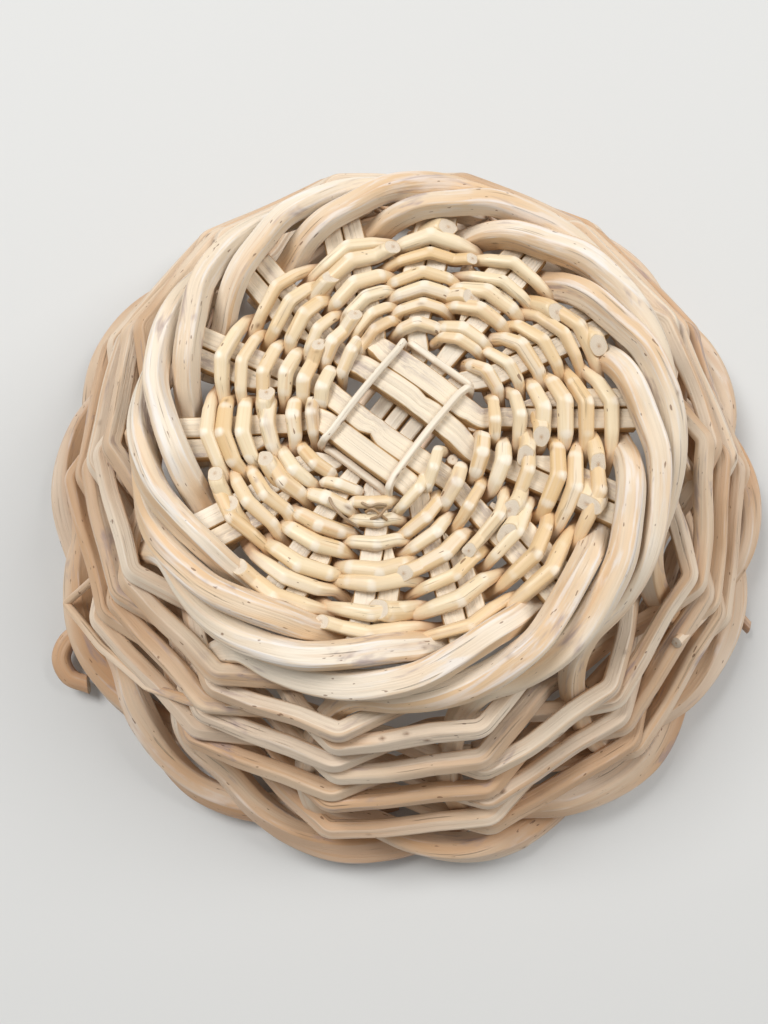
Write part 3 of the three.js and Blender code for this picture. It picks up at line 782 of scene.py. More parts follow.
def carry(name, line, kind, rng, bone=0.0, bark=0.0):
    """Carries a kind's section along a settled route: P(s, t) = P(s) + w(s) r(s, t) cos t A(s)
    + h(s) r(s, t) sin t B(s), with w and h the half sizes and r the section. Each end is closed by rings
    that shrink to its middle and bulge, and the last end is cut on the slant. "bone" is how pale the
    whole rod is and "bark" how brown."""
    line = np.column_stack([settled(line[:, :3]), line[:, 3:]])
    run = run_lengths(line[:, :3])
    turn = 2 * math.pi * np.arange(kind.sides) / kind.sides + kind.spin
    tangent, across, thick = section_frame(line)
    swell, scar = bud_scars(run, turn, line[:, 6], rng, kind.scar_spacing)
    scar = np.maximum(scar, bark)
    radius, facet, ridge = kind.section(run, turn, rng)
    radius = radius + swell
    wide = (line[:, 6, None] * radius * np.cos(turn))[..., None]
    high = (line[:, 7, None] * radius * np.sin(turn))[..., None]
    aside = wide * across[:, None] + high * thick[:, None]
    leaned = kind.slant * high * smoothstep(run, run[-1] - CUT_REACH, run[-1])[:, None, None]
    body = line[:, None, :3] + aside + leaned * tangent[:, None]
    body[..., 2] = np.maximum(body[..., 2], 0)
    curving = np.gradient(tangent, run, axis=0)[:, None]
    marks = np.stack([facet, ridge, np.clip(-(curving * aside).sum(-1), 0, 1)], -1)
    shift = rng.uniform(-GRAIN_SHIFT, GRAIN_SHIFT)
    reach = line[:, 6, None]
    grain = np.stack(np.broadcast_arrays(
        run[:, None] + shift, reach * np.cos(turn) + shift * GRAIN_ASIDE, reach * np.sin(turn)), -1)
    stacks = [body], [grain], [marks], [scar], [np.zeros_like(scar)]
    for share in CAP_SHARES:
        for end, side in ((0, -1), (-1, 1)):
            middle = body[end].mean(0)
            bulge = CAP_BULGE * side * (1 - share**2)
            roughness = rng.uniform(-CAP_ROUGHNESS, CAP_ROUGHNESS, kind.sides)[:, None] * MM * (1 - share)
            ring = middle + (body[end] - middle) * share + tangent[end] * (bulge + roughness)
            values = (ring, grain[end] * (1, share, share), marks[end], np.zeros(kind.sides),
                      np.full(kind.sides, 1 - share))
            for stack, value in zip(stacks, values):
                stack.insert(0 if side < 0 else len(stack), value[None])
    rings, grain, marks, scar, cut = map(np.concatenate, stacks)
    mesh = tube_mesh(name, rings)
    for title, value in (("grain", grain), ("marks", marks)):
        write_attribute(mesh, title, "FLOAT_VECTOR", "vector", np.concatenate(
            [value.reshape(-1, 3), value[:1].mean(1), value[-1:].mean(1)]))
    for title, value, tip in (("scar", scar, 0), ("cut", cut, 1)):
        write_attribute(mesh, title, "FLOAT", "value", np.append(value.ravel(), [tip, tip]))
    write_attribute(mesh, "bone", "FLOAT", "value", np.full(len(mesh.vertices), bone))
    return mesh


def tube_mesh(name, rings):
    """A closed mesh from rings of points: four-sided faces between rings, and a fan at each end. A face
    runs round the ring first, so that it looks outwards."""
    count, sides = rings.shape[:2]
    index = np.arange(count * sides).reshape(count, sides)
    after = np.roll(index, -1, axis=1)
    quads = np.stack([index[:-1], after[:-1], after[1:], index[1:]], -1).reshape(-1, 4)
    start = np.stack([np.full(sides, count * sides), after[0], index[0]], -1)
    stop = np.stack([np.full(sides, count * sides + 1), index[-1], after[-1]], -1)
    corners = np.concatenate([quads.ravel(), start.ravel(), stop.ravel()])
    totals = np.concatenate([np.full(len(quads), 4), np.full(2 * sides, 3)])
    points = np.concatenate([rings.reshape(-1, 3), rings[:1].mean(1), rings[-1:].mean(1)])
    mesh = bpy.data.meshes.new(name)
    mesh.vertices.add(len(points))
    mesh.vertices.foreach_set("co", points.ravel())
    mesh.loops.add(len(corners))
    mesh.loops.foreach_set("vertex_index", corners)
    mesh.polygons.add(len(totals))
    mesh.polygons.foreach_set("loop_start", np.concatenate([[0], np.cumsum(totals)[:-1]]))
    mesh.polygons.foreach_set("use_smooth", np.ones(len(totals), bool))
    mesh.update(calc_edges=True)
    return mesh


def write_attribute(mesh, title, kind, field, values):
    """Writes one value a vertex, for the finishes to read."""
    attribute = mesh.attributes.new(title, kind, "POINT")
    attribute.data.foreach_set(field, np.asarray(values, np.float32).ravel())


def add_object(context, name, data):
    """Puts an object into the scene, at the origin."""
    item = bpy.data.objects.new(name, data)
    context.scene.collection.objects.link(item)
    return item


def grow(context, node, kind, line, rng, **amounts):
    """Makes a rod of a kind along a fine route and puts it into the scene as a piece of the basket."""
    kind = KINDS[kind]
    name = node + kind.ending
    mesh = carry(name, line, kind, rng, **amounts)
    mesh.materials.append(bpy.data.materials[FINISH_NAMES[kind.slot]])
    piece = add_object(context, name, mesh)
    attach(piece, "root")
    if kind.ending:
        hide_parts(node)


def dice(group, number=0):
    """The random numbers of one piece, or of a whole group."""
    return np.random.default_rng(SEEDS[group] + number)


class Layout:
    """Places worked out from the sizes, the same way as in the part's source."""

    def __init__(self, sizes):
        self.sizes = sizes
        self.first_arm = sizes.slath_azimuth + PITCH / 2
        self.foot_outer = sizes.foot_radius - sizes.foot_rod / 2
        self.foot_top = sizes.stick_thickness / 2 + sizes.foot_rod / 2 + CLEARANCE
        self.base = sizes.height + REST_CUT - sizes.foot_rod / 2 - self.foot_top
        self.foot_step = sizes.foot_rod + CLEARANCE
        self.rim_outer = sizes.rim_radius - sizes.rim_rod / 2
        self.rim_step = sizes.rim_rod + CLEARANCE
        self.foot_rows = self.foot_curve()
        self.rim_rows = self.rim_curve()
        top = (self.foot_outer + WALL_TOP[0] * self.foot_step, self.base + WALL_TOP[1] * self.foot_step)
        foot = (self.rim_outer + WALL_FOOT[0] * self.rim_step, WALL_FOOT[1] * self.rim_step)
        self.wall_top = top
        self.flare = math.atan2(foot[0] - top[0], top[1] - foot[1])
        self.wall_length = math.hypot(foot[0] - top[0], top[1] - foot[1])
        start = self.foot_outer + ARM_END * self.foot_step
        self.arm_end = start + ARM_REACH
        gap = start - sizes.foot_rod / 2 * HEXAGON_GROWTH - CLEARANCE
        gap -= sizes.weaver_drift + sizes.weaver_squeeze / 2
        self.weave_end = gap / math.cos(PITCH / 2) + sizes.weave_growth
        self.near = sizes.pair_gap / 2 + sizes.outer_stick_width / 2
        self.far = self.near + sizes.outer_stick_width + sizes.stick_gap
        self.level = sizes.stick_thickness / 2 + CLEARANCE / 2
        self.arms = self.arm_rows()
        self.weave_first = self.arm_azimuth(FIRST_CROSSED) + PITCH / 2
        self.crossings = self.weave_crossings()

    def foot_curve(self):
        """Rows of [pitches from the weave's edge, radius, height] of a foot-ring rod."""
        top = self.foot_top / self.foot_step
        rows = np.array([
            [-0.3, -1.95, -1.25], [0, -1.86, -0.95], [0.25, -1.75, -0.4], [0.46, -1.62, 0.3],
            [0.7, -1.47, top], [1.05, -1.1, top], [1.4, -0.63, top], [1.7, -0.38, 0.58], [2.0, -0.16, 0.22],
            [2.3, -0.04, -0.16], [2.6, 0, -0.53], [2.92, 0.03, -0.86]])
        rows[:, 1:] *= self.foot_step
        return rows + [0, self.foot_outer, self.base]

    def rim_curve(self):
        """Rows of [pitches from the stake, radius, height] of a rim rod."""
        low = self.sizes.rim_rod / 2 * math.cos(math.pi / 6) * HEXAGON_GROWTH - REST_CUT
        low /= self.rim_step
        rows = np.array([
            [0.25, -0.91, 1.81], [0.5, -0.49, 1.65], [0.8, -0.12, 1.34], [1.1, 0, 0.97],
            [1.4, -0.22, 0.62], [1.7, -0.71, low], [2.0, -1.2, low], [2.4, -1.8, low]])
        rows[:, 1:] *= self.rim_step
        return rows + [0, self.rim_outer, 0]

    def wall_point(self, angle, down, offset):
        """A place on the wall: distance down it from its top, and offset outwards, square to it."""
        return around(
            self.wall_top[0] + down * math.sin(self.flare) + offset * math.cos(self.flare), angle,
            self.wall_top[1] - down * math.cos(self.flare) + offset * math.sin(self.flare))

    def arm_rows(self):
        """One row an arm, by growing azimuth: place across its layer, heading, azimuth from that heading,
        level, width, straight half length, and radius where it is an arm."""
        sizes = self.sizes
        layers = (
            (0, (-self.far, -self.near, self.near, self.far), self.level, sizes.outer_stick_width,
             sizes.outer_straight, sizes.outer_arm_start),
            (math.pi / 2, (-sizes.inner_pitch, 0, sizes.inner_pitch), -self.level, sizes.inner_stick_width,
             sizes.inner_straight, sizes.inner_arm_start))
        return np.array([
            (place, sizes.slath_azimuth + direction + turn, (index - (len(places) - 1) / 2) * PITCH, *rest)
            for turn in (0, math.pi)
            for direction, places, *rest in layers
            for index, place in enumerate(places)])

    def arm_place(self, number, radius):
        """Azimuth, height and width of an arm at a radius: straight on from the middle at first, then
        radial and level."""
        place, heading, offset, level, width, straight, arm_start = self.arms[number % ARMS]
        share = smoothstep(radius, math.hypot(straight, place), arm_start)
        azimuth = heading + lerp(np.arcsin(place / radius), offset, share)
        return azimuth, self.base + level * (1 - share), lerp(width, self.sizes.arm_width, share)

    def arm_azimuth(self, number):
        """Azimuths fall without end as the weave goes round, and the arms' numbers fall with them."""
        return self.first_arm + (number - ACROSS_STICKS / 2) * PITCH

    def weave_turns(self, azimuth):
        """Turns of the weave up to an azimuth: what it has fallen by from the first one, over 2 pi."""
        return max((self.weave_first - azimuth) / (2 * math.pi), 0)

    def weave_radius(self, azimuth, corner):
        """From a rounded rectangle round the slath, |x / a|^p + |y / b|^p = 1, out to a polygon with its
        corners over the arms."""
        sizes = self.sizes
        turned = azimuth - sizes.slath_azimuth
        shares = abs(math.cos(turned)) / sizes.weave_along, abs(math.sin(turned)) / sizes.weave_across
        rectangle = (shares[0] ** CORNER_POWER + shares[1] ** CORNER_POWER) ** (-1 / CORNER_POWER)
        from_corner = min(abs(azimuth - corner), PITCH / 2)
        polygon = self.weave_end * math.cos(PITCH / 2) / math.cos(PITCH / 2 - from_corner)
        return lerp(rectangle, polygon, self.weave_turns(azimuth) / sizes.weave_rounds)

    def edge_azimuth(self, number, side):
        """Where a crossing starts or ends: just past an arm's edge, found in a few steps."""
        sizes = self.sizes
        azimuth = self.arm_azimuth(number)
        for _ in range(EDGE_STEPS):
            radius = self.weave_radius(azimuth, azimuth) - sizes.weaver_drift
            middle, _, width = self.arm_place(number, radius)
            reach = width / 2 + CLEARANCE + sizes.weaver_thickness * EDGE_ROOM
            if side > 0:
                reach += second_stick_width(sizes, radius)
            azimuth = middle + (number // ARMS) * 2 * math.pi + side * reach / radius
        return azimuth

    def weave_crossings(self):
        """One row a crossing: where it starts and ends, and its arm's highest and lowest middle."""
        rows = []
        number = FIRST_CROSSED
        while self.arm_azimuth(number) > self.weave_first - self.sizes.weave_rounds * 2 * math.pi:
            radius = self.weave_radius(self.arm_azimuth(number), self.arm_azimuth(number))
            heights = [
                self.arm_place(number, radius + aside)[1] for aside in (-ARM_HEIGHT_REACH, ARM_HEIGHT_REACH)]
            rows.append((self.edge_azimuth(number, 1), self.edge_azimuth(number, -1), max(heights),
                         min(heights)))
            number -= 1
        return rows


def half_stick(layout, number):
    """Half a base stick: from the end of its straight middle round to its radial arm."""
    place, heading, _, _, _, straight, arm_start = layout.arms[number]
    bend = np.linspace(math.hypot(straight, place), arm_start, BEND_STATIONS)
    radius = np.append(bend, lerp(arm_start, layout.arm_end, np.array(ARM_SHARES)))
    azimuth, height, width = layout.arm_place(number, radius)
    facing = np.where(radius > radius[0], azimuth, heading)
    across = around(1, facing + math.pi / 2, 0)
    return route(around(radius, azimuth, height), across, width / 2, layout.sizes.stick_thickness / 2)


def base_stick_line(layout, forward, backward):
    """A base stick: straight through the middle, then out to an arm on each side."""
    back = half_stick(layout, backward)[::-1].copy()
    back[:, 3:6] *= -1
    return smooth_route(np.concatenate([back, half_stick(layout, forward)]), step=0.7 * MM)


class BASKET_OT_finishes(bpy.types.Operator):
    """Makes the four kinds of willow"""

    bl_idname = "basket.finishes"
    bl_label = "Finishes"

    def execute(self, context):
        make_finishes(context.scene.basket_colours)
        return {"FINISHED"}


class BASKET_OT_base_sticks(bpy.types.Operator):
    """Makes the seven split base sticks, each two arms of the base"""

    bl_idname = "basket.base_sticks"
    bl_label = "Base sticks"

    # Painted light: the inner sticks lie lower, in the outer sticks' shade, and their faces are painted paler
    # to look lit.
    inner_painted_light = 0.75

    def execute(self, context):
        layout = Layout(context.scene.basket_sizes)
        rng = dice("base_sticks")
        for index in range(ACROSS_STICKS):
            line = base_stick_line(layout, index, ARMS // 2 + ACROSS_STICKS - 1 - index)
            self.uneven(line, rng)
            if index + 1 in NOTCHES:
                self.notch(line, *NOTCHES[index + 1])
            grow(context, f"base_stick_outer_{index + 1}", "stick", line, rng)
        for index in range(ALONG_STICKS):
            line = base_stick_line(layout, ACROSS_STICKS + index, ARMS - 1 - index)
            self.uneven(line, rng)
            grow(context, f"base_stick_inner_{index + 1}", "stick", line, rng, bone=self.inner_painted_light)
        return {"FINISHED"}

    @staticmethod
    def uneven(line, rng):
        """Lets the width of a stick vary along it."""
        line[:, 6] *= 1 + wander(run_lengths(line[:, :3]), rng, *STICK_UNEVEN)

    @staticmethod
    def notch(line, place, depth, side):
        """Cuts a pointed notch into one edge: the stick is narrower there, and its middle moves away."""
        run = run_lengths(line[:, :3])
        share = np.maximum(0, 1 - np.abs(run - run[-1] / 2 - place * MM) / NOTCH_HALF_LENGTH)
        bite = depth * MM * share / 2
        line[:, 6] -= bite
        line[:, :3] += side * bite[:, None] * line[:, 3:6]


class BASKET_OT_second_sticks(bpy.types.Operator):
    """Makes the second stick beside each arm, pushed in with a pointed end"""

    bl_idname = "basket.second_sticks"
    bl_label = "Second sticks"

    def execute(self, context):
        sizes = context.scene.basket_sizes
        layout = Layout(sizes)
        rng = dice("second_sticks")
        radius = np.array([sizes.second_start, sizes.second_full, layout.arm_end])
        width = np.array([sizes.second_point, sizes.second_width, sizes.second_width])
        for arm in range(ARMS):
            angle = layout.first_arm + arm * PITCH
            aside = around(1, angle + math.pi / 2, 0)
            shift = sizes.arm_width / 2 + CLEARANCE + width / 2
            points = around(radius, angle, layout.base) + shift[:, None] * aside
            line = route(points, aside, width / 2, sizes.stick_thickness / 2)
            line = creased_route(line, step=0.7 * MM, bend=2 * MM)
            grow(context, f"second_stick_{arm + 1:02d}", "stick", line, rng)
        return {"FINISHED"}


def binding_line(layout, corner, start, loose):
    """A binding rod: a rounded rectangle through the four corners' points, in the slath's own axes. It
    starts and ends at a place out of sight. Its far side may be loose, further out and higher."""
    corners = [corner(-1, 1)[::-1], corner(-1, -1), corner(1, -1)[::-1], corner(1, 1)]
    start = np.array(start)
    lap = np.array([BINDING_LAP, 0, 0])
    places = np.concatenate([[start + lap], *corners, [start - lap]])
    places[places[:, 1] > 0, 1:] += np.array(LOOSE_DIRECTION) * loose
    cosine, sine = math.cos(layout.sizes.slath_azimuth), math.sin(layout.sizes.slath_azimuth)
    along, aside, height = places.T
    points = np.stack([
        along * cosine - aside * sine, along * sine + aside * cosine, height + layout.base], -1)
    radius = layout.sizes.binding_thickness / 2 * BINDING_SHRINK
    return laid(points, radius, radius, step=0.35 * MM, bend=0.8 * MM)


class BASKET_OT_binding_rods(bpy.types.Operator):
    """Makes the two thin rods that bind the four groups of sticks in the middle"""

    bl_idname = "basket.binding_rods"
    bl_label = "Binding rods"

    flat_loose = 1.8 * MM

    def execute(self, context):
        sizes = context.scene.basket_sizes
        layout = Layout(sizes)
        rng = dice("binding_rods")
        reach = sizes.binding_thickness / 2 + CLEARANCE
        step = sizes.binding_thickness + CLEARANCE
        along = sizes.inner_pitch + sizes.inner_stick_width / 2 + reach
        across = layout.far + sizes.outer_stick_width / 2 + reach
        over_outer = 2 * layout.level + reach
        over_inner = reach + CLEARANCE / 2

        def corners(rows):
            rows = np.array(rows)
            points = np.stack([along + rows[:, 0] * step, across + rows[:, 1] * step, rows[:, 2]], -1)
            return lambda side_along, side_across: points * [side_along, side_across, 1]

        steep = corners([
            [0, -1.17, over_outer], [0.15, -0.2, over_outer - step * 0.15],
            [0.35, 0.15, over_outer - step * 1.17], [0.35, 0.15, step - over_outer],
            [0.1, 0.1, CLEARANCE - over_outer], [-1.03, 0, -over_outer]])
        flat = corners([
            [0, -1.03, -over_inner], [0, -0.1, over_inner * -0.4],
            [-0.17, 0.07, over_inner * 0.7], [-0.72, 0, over_inner]])
        for node, corner, start_height, loose in (
                ("binding_rod_steep", steep, -over_outer, 0),
                ("binding_rod_flat", flat, over_inner, self.flat_loose)):
            line = binding_line(layout, corner, (0, across, start_height), loose)
            grow(context, node, "binding_rod", line, rng, bone=1.0)
        return {"FINISHED"}


def second_stick_width(sizes, radius):
    """Width that the second stick takes beside an arm, at a radius, with its clearance."""
    share = np.clip((radius - sizes.second_start) / (sizes.second_full - sizes.second_start), 0, 1)
    width = CLEARANCE + lerp(sizes.second_point, sizes.second_width, share)
    return np.where(radius < sizes.second_start - sizes.weaver_width / 2, 0, width)


def crossing_stations(layout, strand, index, rng):
    """A strand's stations at a crossing: at its first edge, at its middle where it passes over the arm,
    at its other edge, and half way to the next crossing. Going down it drifts outwards, coming up
    inwards. Its place, its kink and its thickness stray at random."""
    sizes = layout.sizes
    start, end, top, bottom = layout.crossings[index]
    following = layout.crossings[index + 1]
    side = 1 if (index + strand) % 2 == 0 else -1
    face = top if side > 0 else bottom
    middle = (start + end) / 2
    aside = rng.normal(0, ROUND_STRAY) * MM
    askew = rng.normal(0, KINK_STRAY) * MM / layout.weave_radius(middle, middle)
    plumpness = rng.uniform(*PLUMPNESS)

    def station(azimuth, drift, level, rise, width, thickness):
        fullness = min(layout.weave_turns(azimuth), 1)
        thickness = lerp(FIRST_THICKNESS, 1, fullness) * thickness * plumpness
        width = lerp(sizes.weaver_tip / sizes.weaver_width, 1, fullness) * width * plumpness
        height = level + side * rise * (sizes.stick_thickness / 2 + CLEARANCE + sizes.weaver_thickness / 2)
        radius = layout.weave_radius(azimuth, middle) + side * drift * sizes.weaver_spread + aside
        return route([around(radius, azimuth, height)], around(1, azimuth, 0), width / 2, thickness / 2)

    half = (start - end) / 2
    ahead = (end - following[0]) / 2
    near = half / (half + ahead)
    wide, thick = sizes.weaver_width, sizes.weaver_thickness * WEAVER_PLUMP
    edge_rise = EDGE_RISE[side]
    edge_width = lerp(wide, sizes.weaver_middle, EDGE_NARROWING)
    rows = [station(start, -near, face, edge_rise, edge_width, thick)]
    if side > 0:
        rows.append(station(middle + askew, 0, face + KINK_LIFT, 1, wide, thick))
    rows.append(station(end, near, face, edge_rise, edge_width, thick))
    between = (top + bottom + following[2] + following[3]) / 4
    rows.append(station(end - ahead, 1, between, 0, sizes.weaver_middle, sizes.weaver_fullness))
    return rows


class BASKET_OT_pairing(bpy.types.Operator):
    """Makes the weavers of the base, two strands of four rods each, with their cut ends"""

    bl_idname = "basket.pairing"
    bl_label = "Base weavers"

    strands = 2
    sections = 4
    cut_length = 5 * MM
    cut_rise = 2.2 * MM
    most_bone = 0.15

    def execute(self, context):
        layout = Layout(context.scene.basket_sizes)
        crossings = len(layout.crossings) - 2 * self.strands

        def join_crossing(strand, count):
            share = crossings * count / self.sections
            return math.floor(share / self.strands + 0.5) * self.strands + strand

        for strand in range(self.strands):
            for section in range(self.sections):
                rng = dice("pairing", 10 * strand + section)
                first = join_crossing(strand, section)
                final = join_crossing(strand, section + 1)
                rows = crossing_stations(layout, strand, first, rng)[-1:]
                for index in range(first + 1, final + 1):
                    rows += crossing_stations(layout, strand, index, rng)
                line = np.concatenate(rows[:-1])
                onward = line[-1, :3] - line[-2, :3]
                onward[2] = 0
                end = line[-1].copy()
                end[:3] += unit(onward) * self.cut_length + [0, 0, self.cut_rise]
                line = creased_route(np.vstack([line, end]), step=0.45 * MM, bend=0.85 * MM)
                grow(context, f"base_weaver_{strand + 1}_{section + 1}", "weaver", line, rng,
                     bone=rng.uniform(0, self.most_bone))
        return {"FINISHED"}


class BASKET_OT_cut_ends(bpy.types.Operator):
    """Makes the cut ends of the weavers that lie on the base's outer face"""

    bl_idname = "basket.cut_ends"
    bl_label = "Cut ends"

    hidden = 10 * MM
    lift = 4.2 * MM
    behind = (1.0, 0.55, 0.2, -0.05)
    fullness = (0.75, 0.95, 1, 0.96)
    final_aside = (-0.4, 0.8)

    def execute(self, context):
        layout = Layout(context.scene.basket_sizes)
        for number, (degrees, radius, width, thickness) in enumerate(CUT_ENDS):
            rng = dice("cut_ends", number)
            radius *= MM
            behind = np.array(self.behind) * self.hidden
            aside = np.array([-1.2, -0.6, 0, rng.uniform(*self.final_aside)]) * MM
            rise = layout.base + np.array([-1.6 * MM, 0.4 * self.lift, 0.9 * self.lift, self.lift + 0.4 * MM])
            azimuth = math.radians(degrees) + behind / radius
            points = around(radius + aside, azimuth, rise)
            shares = np.array(self.fullness)
            line = route(points, around(1, azimuth, 0), width * MM / 2 * shares, thickness * MM / 2 * shares)
            line = smooth_route(line, step=0.35 * MM)
            grow(context, f"cut_end_{number + 1:02d}", "cut_end", line, rng)
        return {"FINISHED"}


class BASKET_OT_loose_ends(bpy.types.Operator):
    """Makes the rods' ends that stick out of the wall and the rim"""

    bl_idname = "basket.loose_ends"
    bl_label = "Loose ends"

    taper = 0.8

    def execute(self, context):
        for number, (name, thickness, bend, points) in enumerate(LOOSE_ENDS):
            half = thickness * MM / 2 * np.linspace(1, self.taper, len(points))
            line = laid(np.array(points) * MM, half, half, step=0.4 * MM, bend=bend * MM)
            grow(context, name, "loose_end", line, dice("loose_ends", number))
        return {"FINISHED"}


class BASKET_OT_bark_strands(bpy.types.Operator):
    """Makes the thin brown strands of bark that are torn off the base's weavers"""

    bl_idname = "basket.bark_strands"
    bl_label = "Bark strands"

    thickness = 0.8 * MM
    flatness = 1.2
    brown = 0.75

    def execute(self, context):
        for number, points in enumerate(BARK_STRANDS):
            half = self.thickness / 2
            line = laid(np.array(points) * MM, half * self.flatness, half, step=0.3 * MM)
            grow(context, f"bark_strand_{number + 1}", "bark_strand", line, dice("bark_strands", number),
                 bark=self.brown)
        return {"FINISHED"}


def stake_line(layout, arm):
    """A stake from the foot ring down the wall into the rim. Its section turns from upright in the
    ring to square to the wall, and back in the rim."""
    sizes = layout.sizes
    angle = layout.first_arm + arm * PITCH
    upright = math.pi / 2
    foot, rim = layout.foot_rows, layout.rim_rows
    at = angle + (FOOT_PITCHES - foot[:, 0]) * PITCH
    lean = lerp(upright, layout.flare, smoothstep(foot[:, 0], *FOOT_TURN))
    radius = sizes.foot_rod / 2
    first = route(around(foot[:, 1], at, foot[:, 2]), leaning(at, lean), radius, radius)
    down = np.array([STAKE_INSET, layout.wall_length - STAKE_INSET])
    radius = lerp(sizes.foot_rod, sizes.wall_rod, down / layout.wall_length) / 2
    middle = route(layout.wall_point(angle, down, 0), leaning(angle, layout.flare), radius, radius)
    at = angle + rim[:, 0] * PITCH
    lean = lerp(layout.flare, upright, smoothstep(rim[:, 0], *RIM_TURN))
    radius = lerp(sizes.wall_rod, sizes.rim_rod, smoothstep(rim[:, 0], *RIM_THICKENING)) / 2
    last = route(around(rim[:, 1], at, rim[:, 2]), leaning(at, lean), radius, radius)
    return np.concatenate([first, middle, last])


class BASKET_OT_stakes(bpy.types.Operator):
    """Makes the fourteen thick rods of the foot ring, wall and rim"""

    bl_idname = "basket.stakes"
    bl_label = "Stakes"

    sway = 0.35 * MM

    def execute(self, context):
        layout = Layout(context.scene.basket_sizes)
        for arm in range(ARMS):
            rng = dice("stakes", arm)
            line = unsteady(smooth_route(stake_line(layout, arm), step=0.9 * MM), self.sway, rng)
            grow(context, f"stake_{arm + 1:02d}", "stake", line, rng)
        return {"FINISHED"}


def wale_line(layout, strand, steps):
    """Stations of a wale strand, three a stake: in front of two stakes, then behind one. Between two
    stakes it runs straight, as the side of a polygon does."""
    sizes = layout.sizes
    radius = sizes.wale_rod / 2
    offset = sizes.wall_rod / 2 * HEXAGON_GROWTH + sizes.wale_clearance + radius
    stack = sizes.wale_rod + sizes.wale_clearance + CLEARANCE
    phases = np.array([
        [[1, 0], [1, 0.2], [1, 0.8]],
        [[1, 1], [0.25, 0.92], [-0.7, 0.75]],
        [[-1, 0.5], [-0.65, 0.1], [0.25, -0.15]]])
    passed = steps / STATIONS_PER_ARM
    phase = (steps // STATIONS_PER_ARM - strand) % 3
    outwards, down = phases[phase, steps % STATIONS_PER_ARM].T
    angle = layout.first_arm - passed * PITCH
    place = sizes.wale_start + sizes.wale_row * passed / ARMS + down * stack
    points = layout.wall_point(angle, place, outwards * offset)
    points[:, :2] *= (math.cos(PITCH / 2) / np.cos(PITCH / 2 - passed % 1 * PITCH))[:, None]
    return route(points, leaning(angle, layout.flare), radius, radius)


class BASKET_OT_wale(bpy.types.Operator):
    """Makes the three-rod wale of the wall, three rods a strand"""

    bl_idname = "basket.wale"
    bl_label = "Wale rods"

    strands = 3
    sections = 3
    sway = 0.45 * MM
    start_inset = 0.06
    most_bone = 0.25

    def execute(self, context):
        sizes = context.scene.basket_sizes
        layout = Layout(sizes)
        stakes = (layout.wall_length - sizes.wale_start - sizes.wale_end_room) / sizes.wale_row * ARMS

        def join_stake(strand, count):
            share = stakes * count / self.sections
            return math.floor((share - strand) / self.strands + 0.5) * self.strands + 2 + strand

        for strand in range(self.strands):
            for section in range(self.sections):
                rng = dice("wale", 10 * strand + section)
                first = join_stake(strand, section) * STATIONS_PER_ARM
                last = join_stake(strand, section + 1) * STATIONS_PER_ARM
                line = wale_line(layout, strand, np.arange(first, last + 1))
                line[0] = lerp(line[0], line[1], self.start_inset)
                line = unsteady(creased_route(line, step=0.75 * MM, bend=2 * MM), self.sway, rng)
                grow(context, f"wale_rod_{strand + 1}_{section + 1}", "wale_rod", line, rng,
                     bone=rng.uniform(0, self.most_bone))
        return {"FINISHED"}


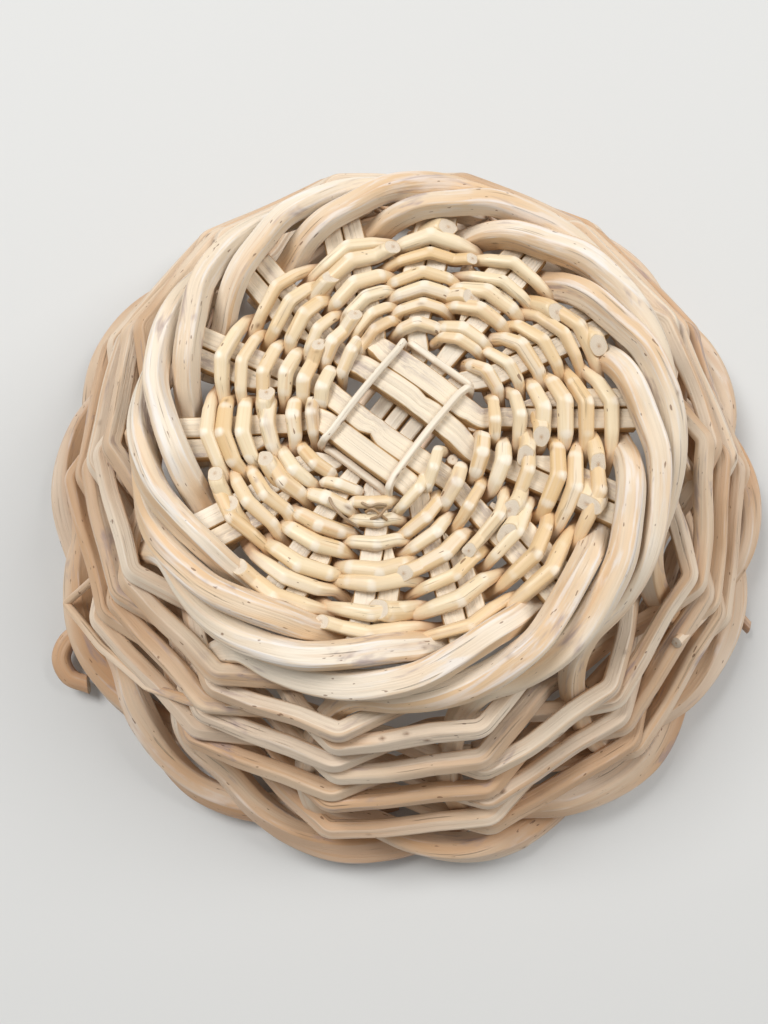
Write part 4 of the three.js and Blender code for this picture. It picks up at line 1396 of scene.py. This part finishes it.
class BASKET_OT_stage(bpy.types.Operator):
    """Makes the floor, the lamps, the world and the camera"""

    bl_idname = "basket.stage"
    bl_label = "Stage"

    def execute(self, context):
        self.floor(context)
        for lamp in LAMPS:
            self.lamp(context, *lamp)
        world = bpy.data.worlds.new("studio")
        world.use_nodes = True
        background = world.node_tree.nodes["Background"].inputs
        background["Color"].default_value = (1, 1, 1, 1)
        background["Strength"].default_value = WORLD_STRENGTH
        context.scene.world = world
        self.camera(context)
        context.scene.view_settings.view_transform = "Standard"
        return {"FINISHED"}

    @staticmethod
    def floor(context):
        """A wide level square."""
        corners = np.array([(-1, -1, 0), (1, -1, 0), (1, 1, 0), (-1, 1, 0)]) * FLOOR_HALF
        mesh = bpy.data.meshes.new("floor")
        mesh.from_pydata(corners.tolist(), [], [(0, 1, 2, 3)])
        finish = Finish("pale_floor")
        finish.set(base_color=context.scene.basket_colours.floor, roughness=0.85)
        mesh.materials.append(finish.material)
        add_object(context, "floor", mesh)

    @staticmethod
    def lamp(context, name, stand, width, power):
        """A round lamp that looks at the basket."""
        data = bpy.data.lights.new(name, "AREA")
        data.shape = "DISK"
        data.size = width
        data.energy = power
        lamp = add_object(context, name, data)
        lamp.location = stand
        towards = np.array(LAMP_AIM) - np.array(stand)
        lamp.rotation_euler = Vector(towards).to_track_quat("-Z", "Y").to_euler()

    @staticmethod
    def camera(context):
        """The photo's view: the camera's back B points from its aim to its stand, its right is Y x B, and
        it is then turned about its own axis."""
        data = bpy.data.cameras.new("camera")
        data.lens = CAMERA_LENS
        data.clip_start = CAMERA_NEAREST
        camera = add_object(context, "camera", data)
        stand, aim = Vector(CAMERA_STAND) * MM, Vector(CAMERA_AIM) * MM
        back = (stand - aim).normalized()
        right = Vector((0, 1, 0)).cross(back).normalized()
        upright = Matrix((right, back.cross(right), back)).transposed()
        camera.location = stand
        camera.rotation_euler = (upright @ Matrix.Rotation(math.radians(CAMERA_TURN), 3, "Z")).to_euler()
        context.scene.camera = camera


class BASKET_PT_sidebar(bpy.types.Panel):
    """Lists the steps and the sizes in the sidebar"""

    bl_idname = "BASKET_PT_sidebar"
    bl_label = "Basket"
    bl_space_type = "VIEW_3D"
    bl_region_type = "UI"
    bl_category = "Basket"

    def draw(self, context):
        for step in STEPS:
            self.layout.operator(step.bl_idname)
        for group in (context.scene.basket_sizes, context.scene.basket_colours):
            for name in group.bl_rna.properties.keys():
                if name not in ("rna_type", "name"):
                    self.layout.prop(group, name)


STEPS = (
    BASKET_OT_finishes,
    BASKET_OT_base_sticks,
    BASKET_OT_second_sticks,
    BASKET_OT_binding_rods,
    BASKET_OT_pairing,
    BASKET_OT_cut_ends,
    BASKET_OT_stakes,
    BASKET_OT_wale,
    BASKET_OT_loose_ends,
    BASKET_OT_bark_strands,
    BASKET_OT_stage,
)
CLASSES = (BasketSizes, BasketColours, *STEPS, BASKET_PT_sidebar)


def register():
    for item in CLASSES:
        bpy.utils.register_class(item)
    bpy.types.Scene.basket_sizes = bpy.props.PointerProperty(type=BasketSizes)
    bpy.types.Scene.basket_colours = bpy.props.PointerProperty(type=BasketColours)


def unregister():
    del bpy.types.Scene.basket_colours
    del bpy.types.Scene.basket_sizes
    for item in reversed(CLASSES):
        bpy.utils.unregister_class(item)


def main():
    """Makes the basket step by step."""
    register()
    for step in STEPS:
        group, action = step.bl_idname.split(".")
        getattr(getattr(bpy.ops, group), action)()


if __name__ == "__main__":
    main()
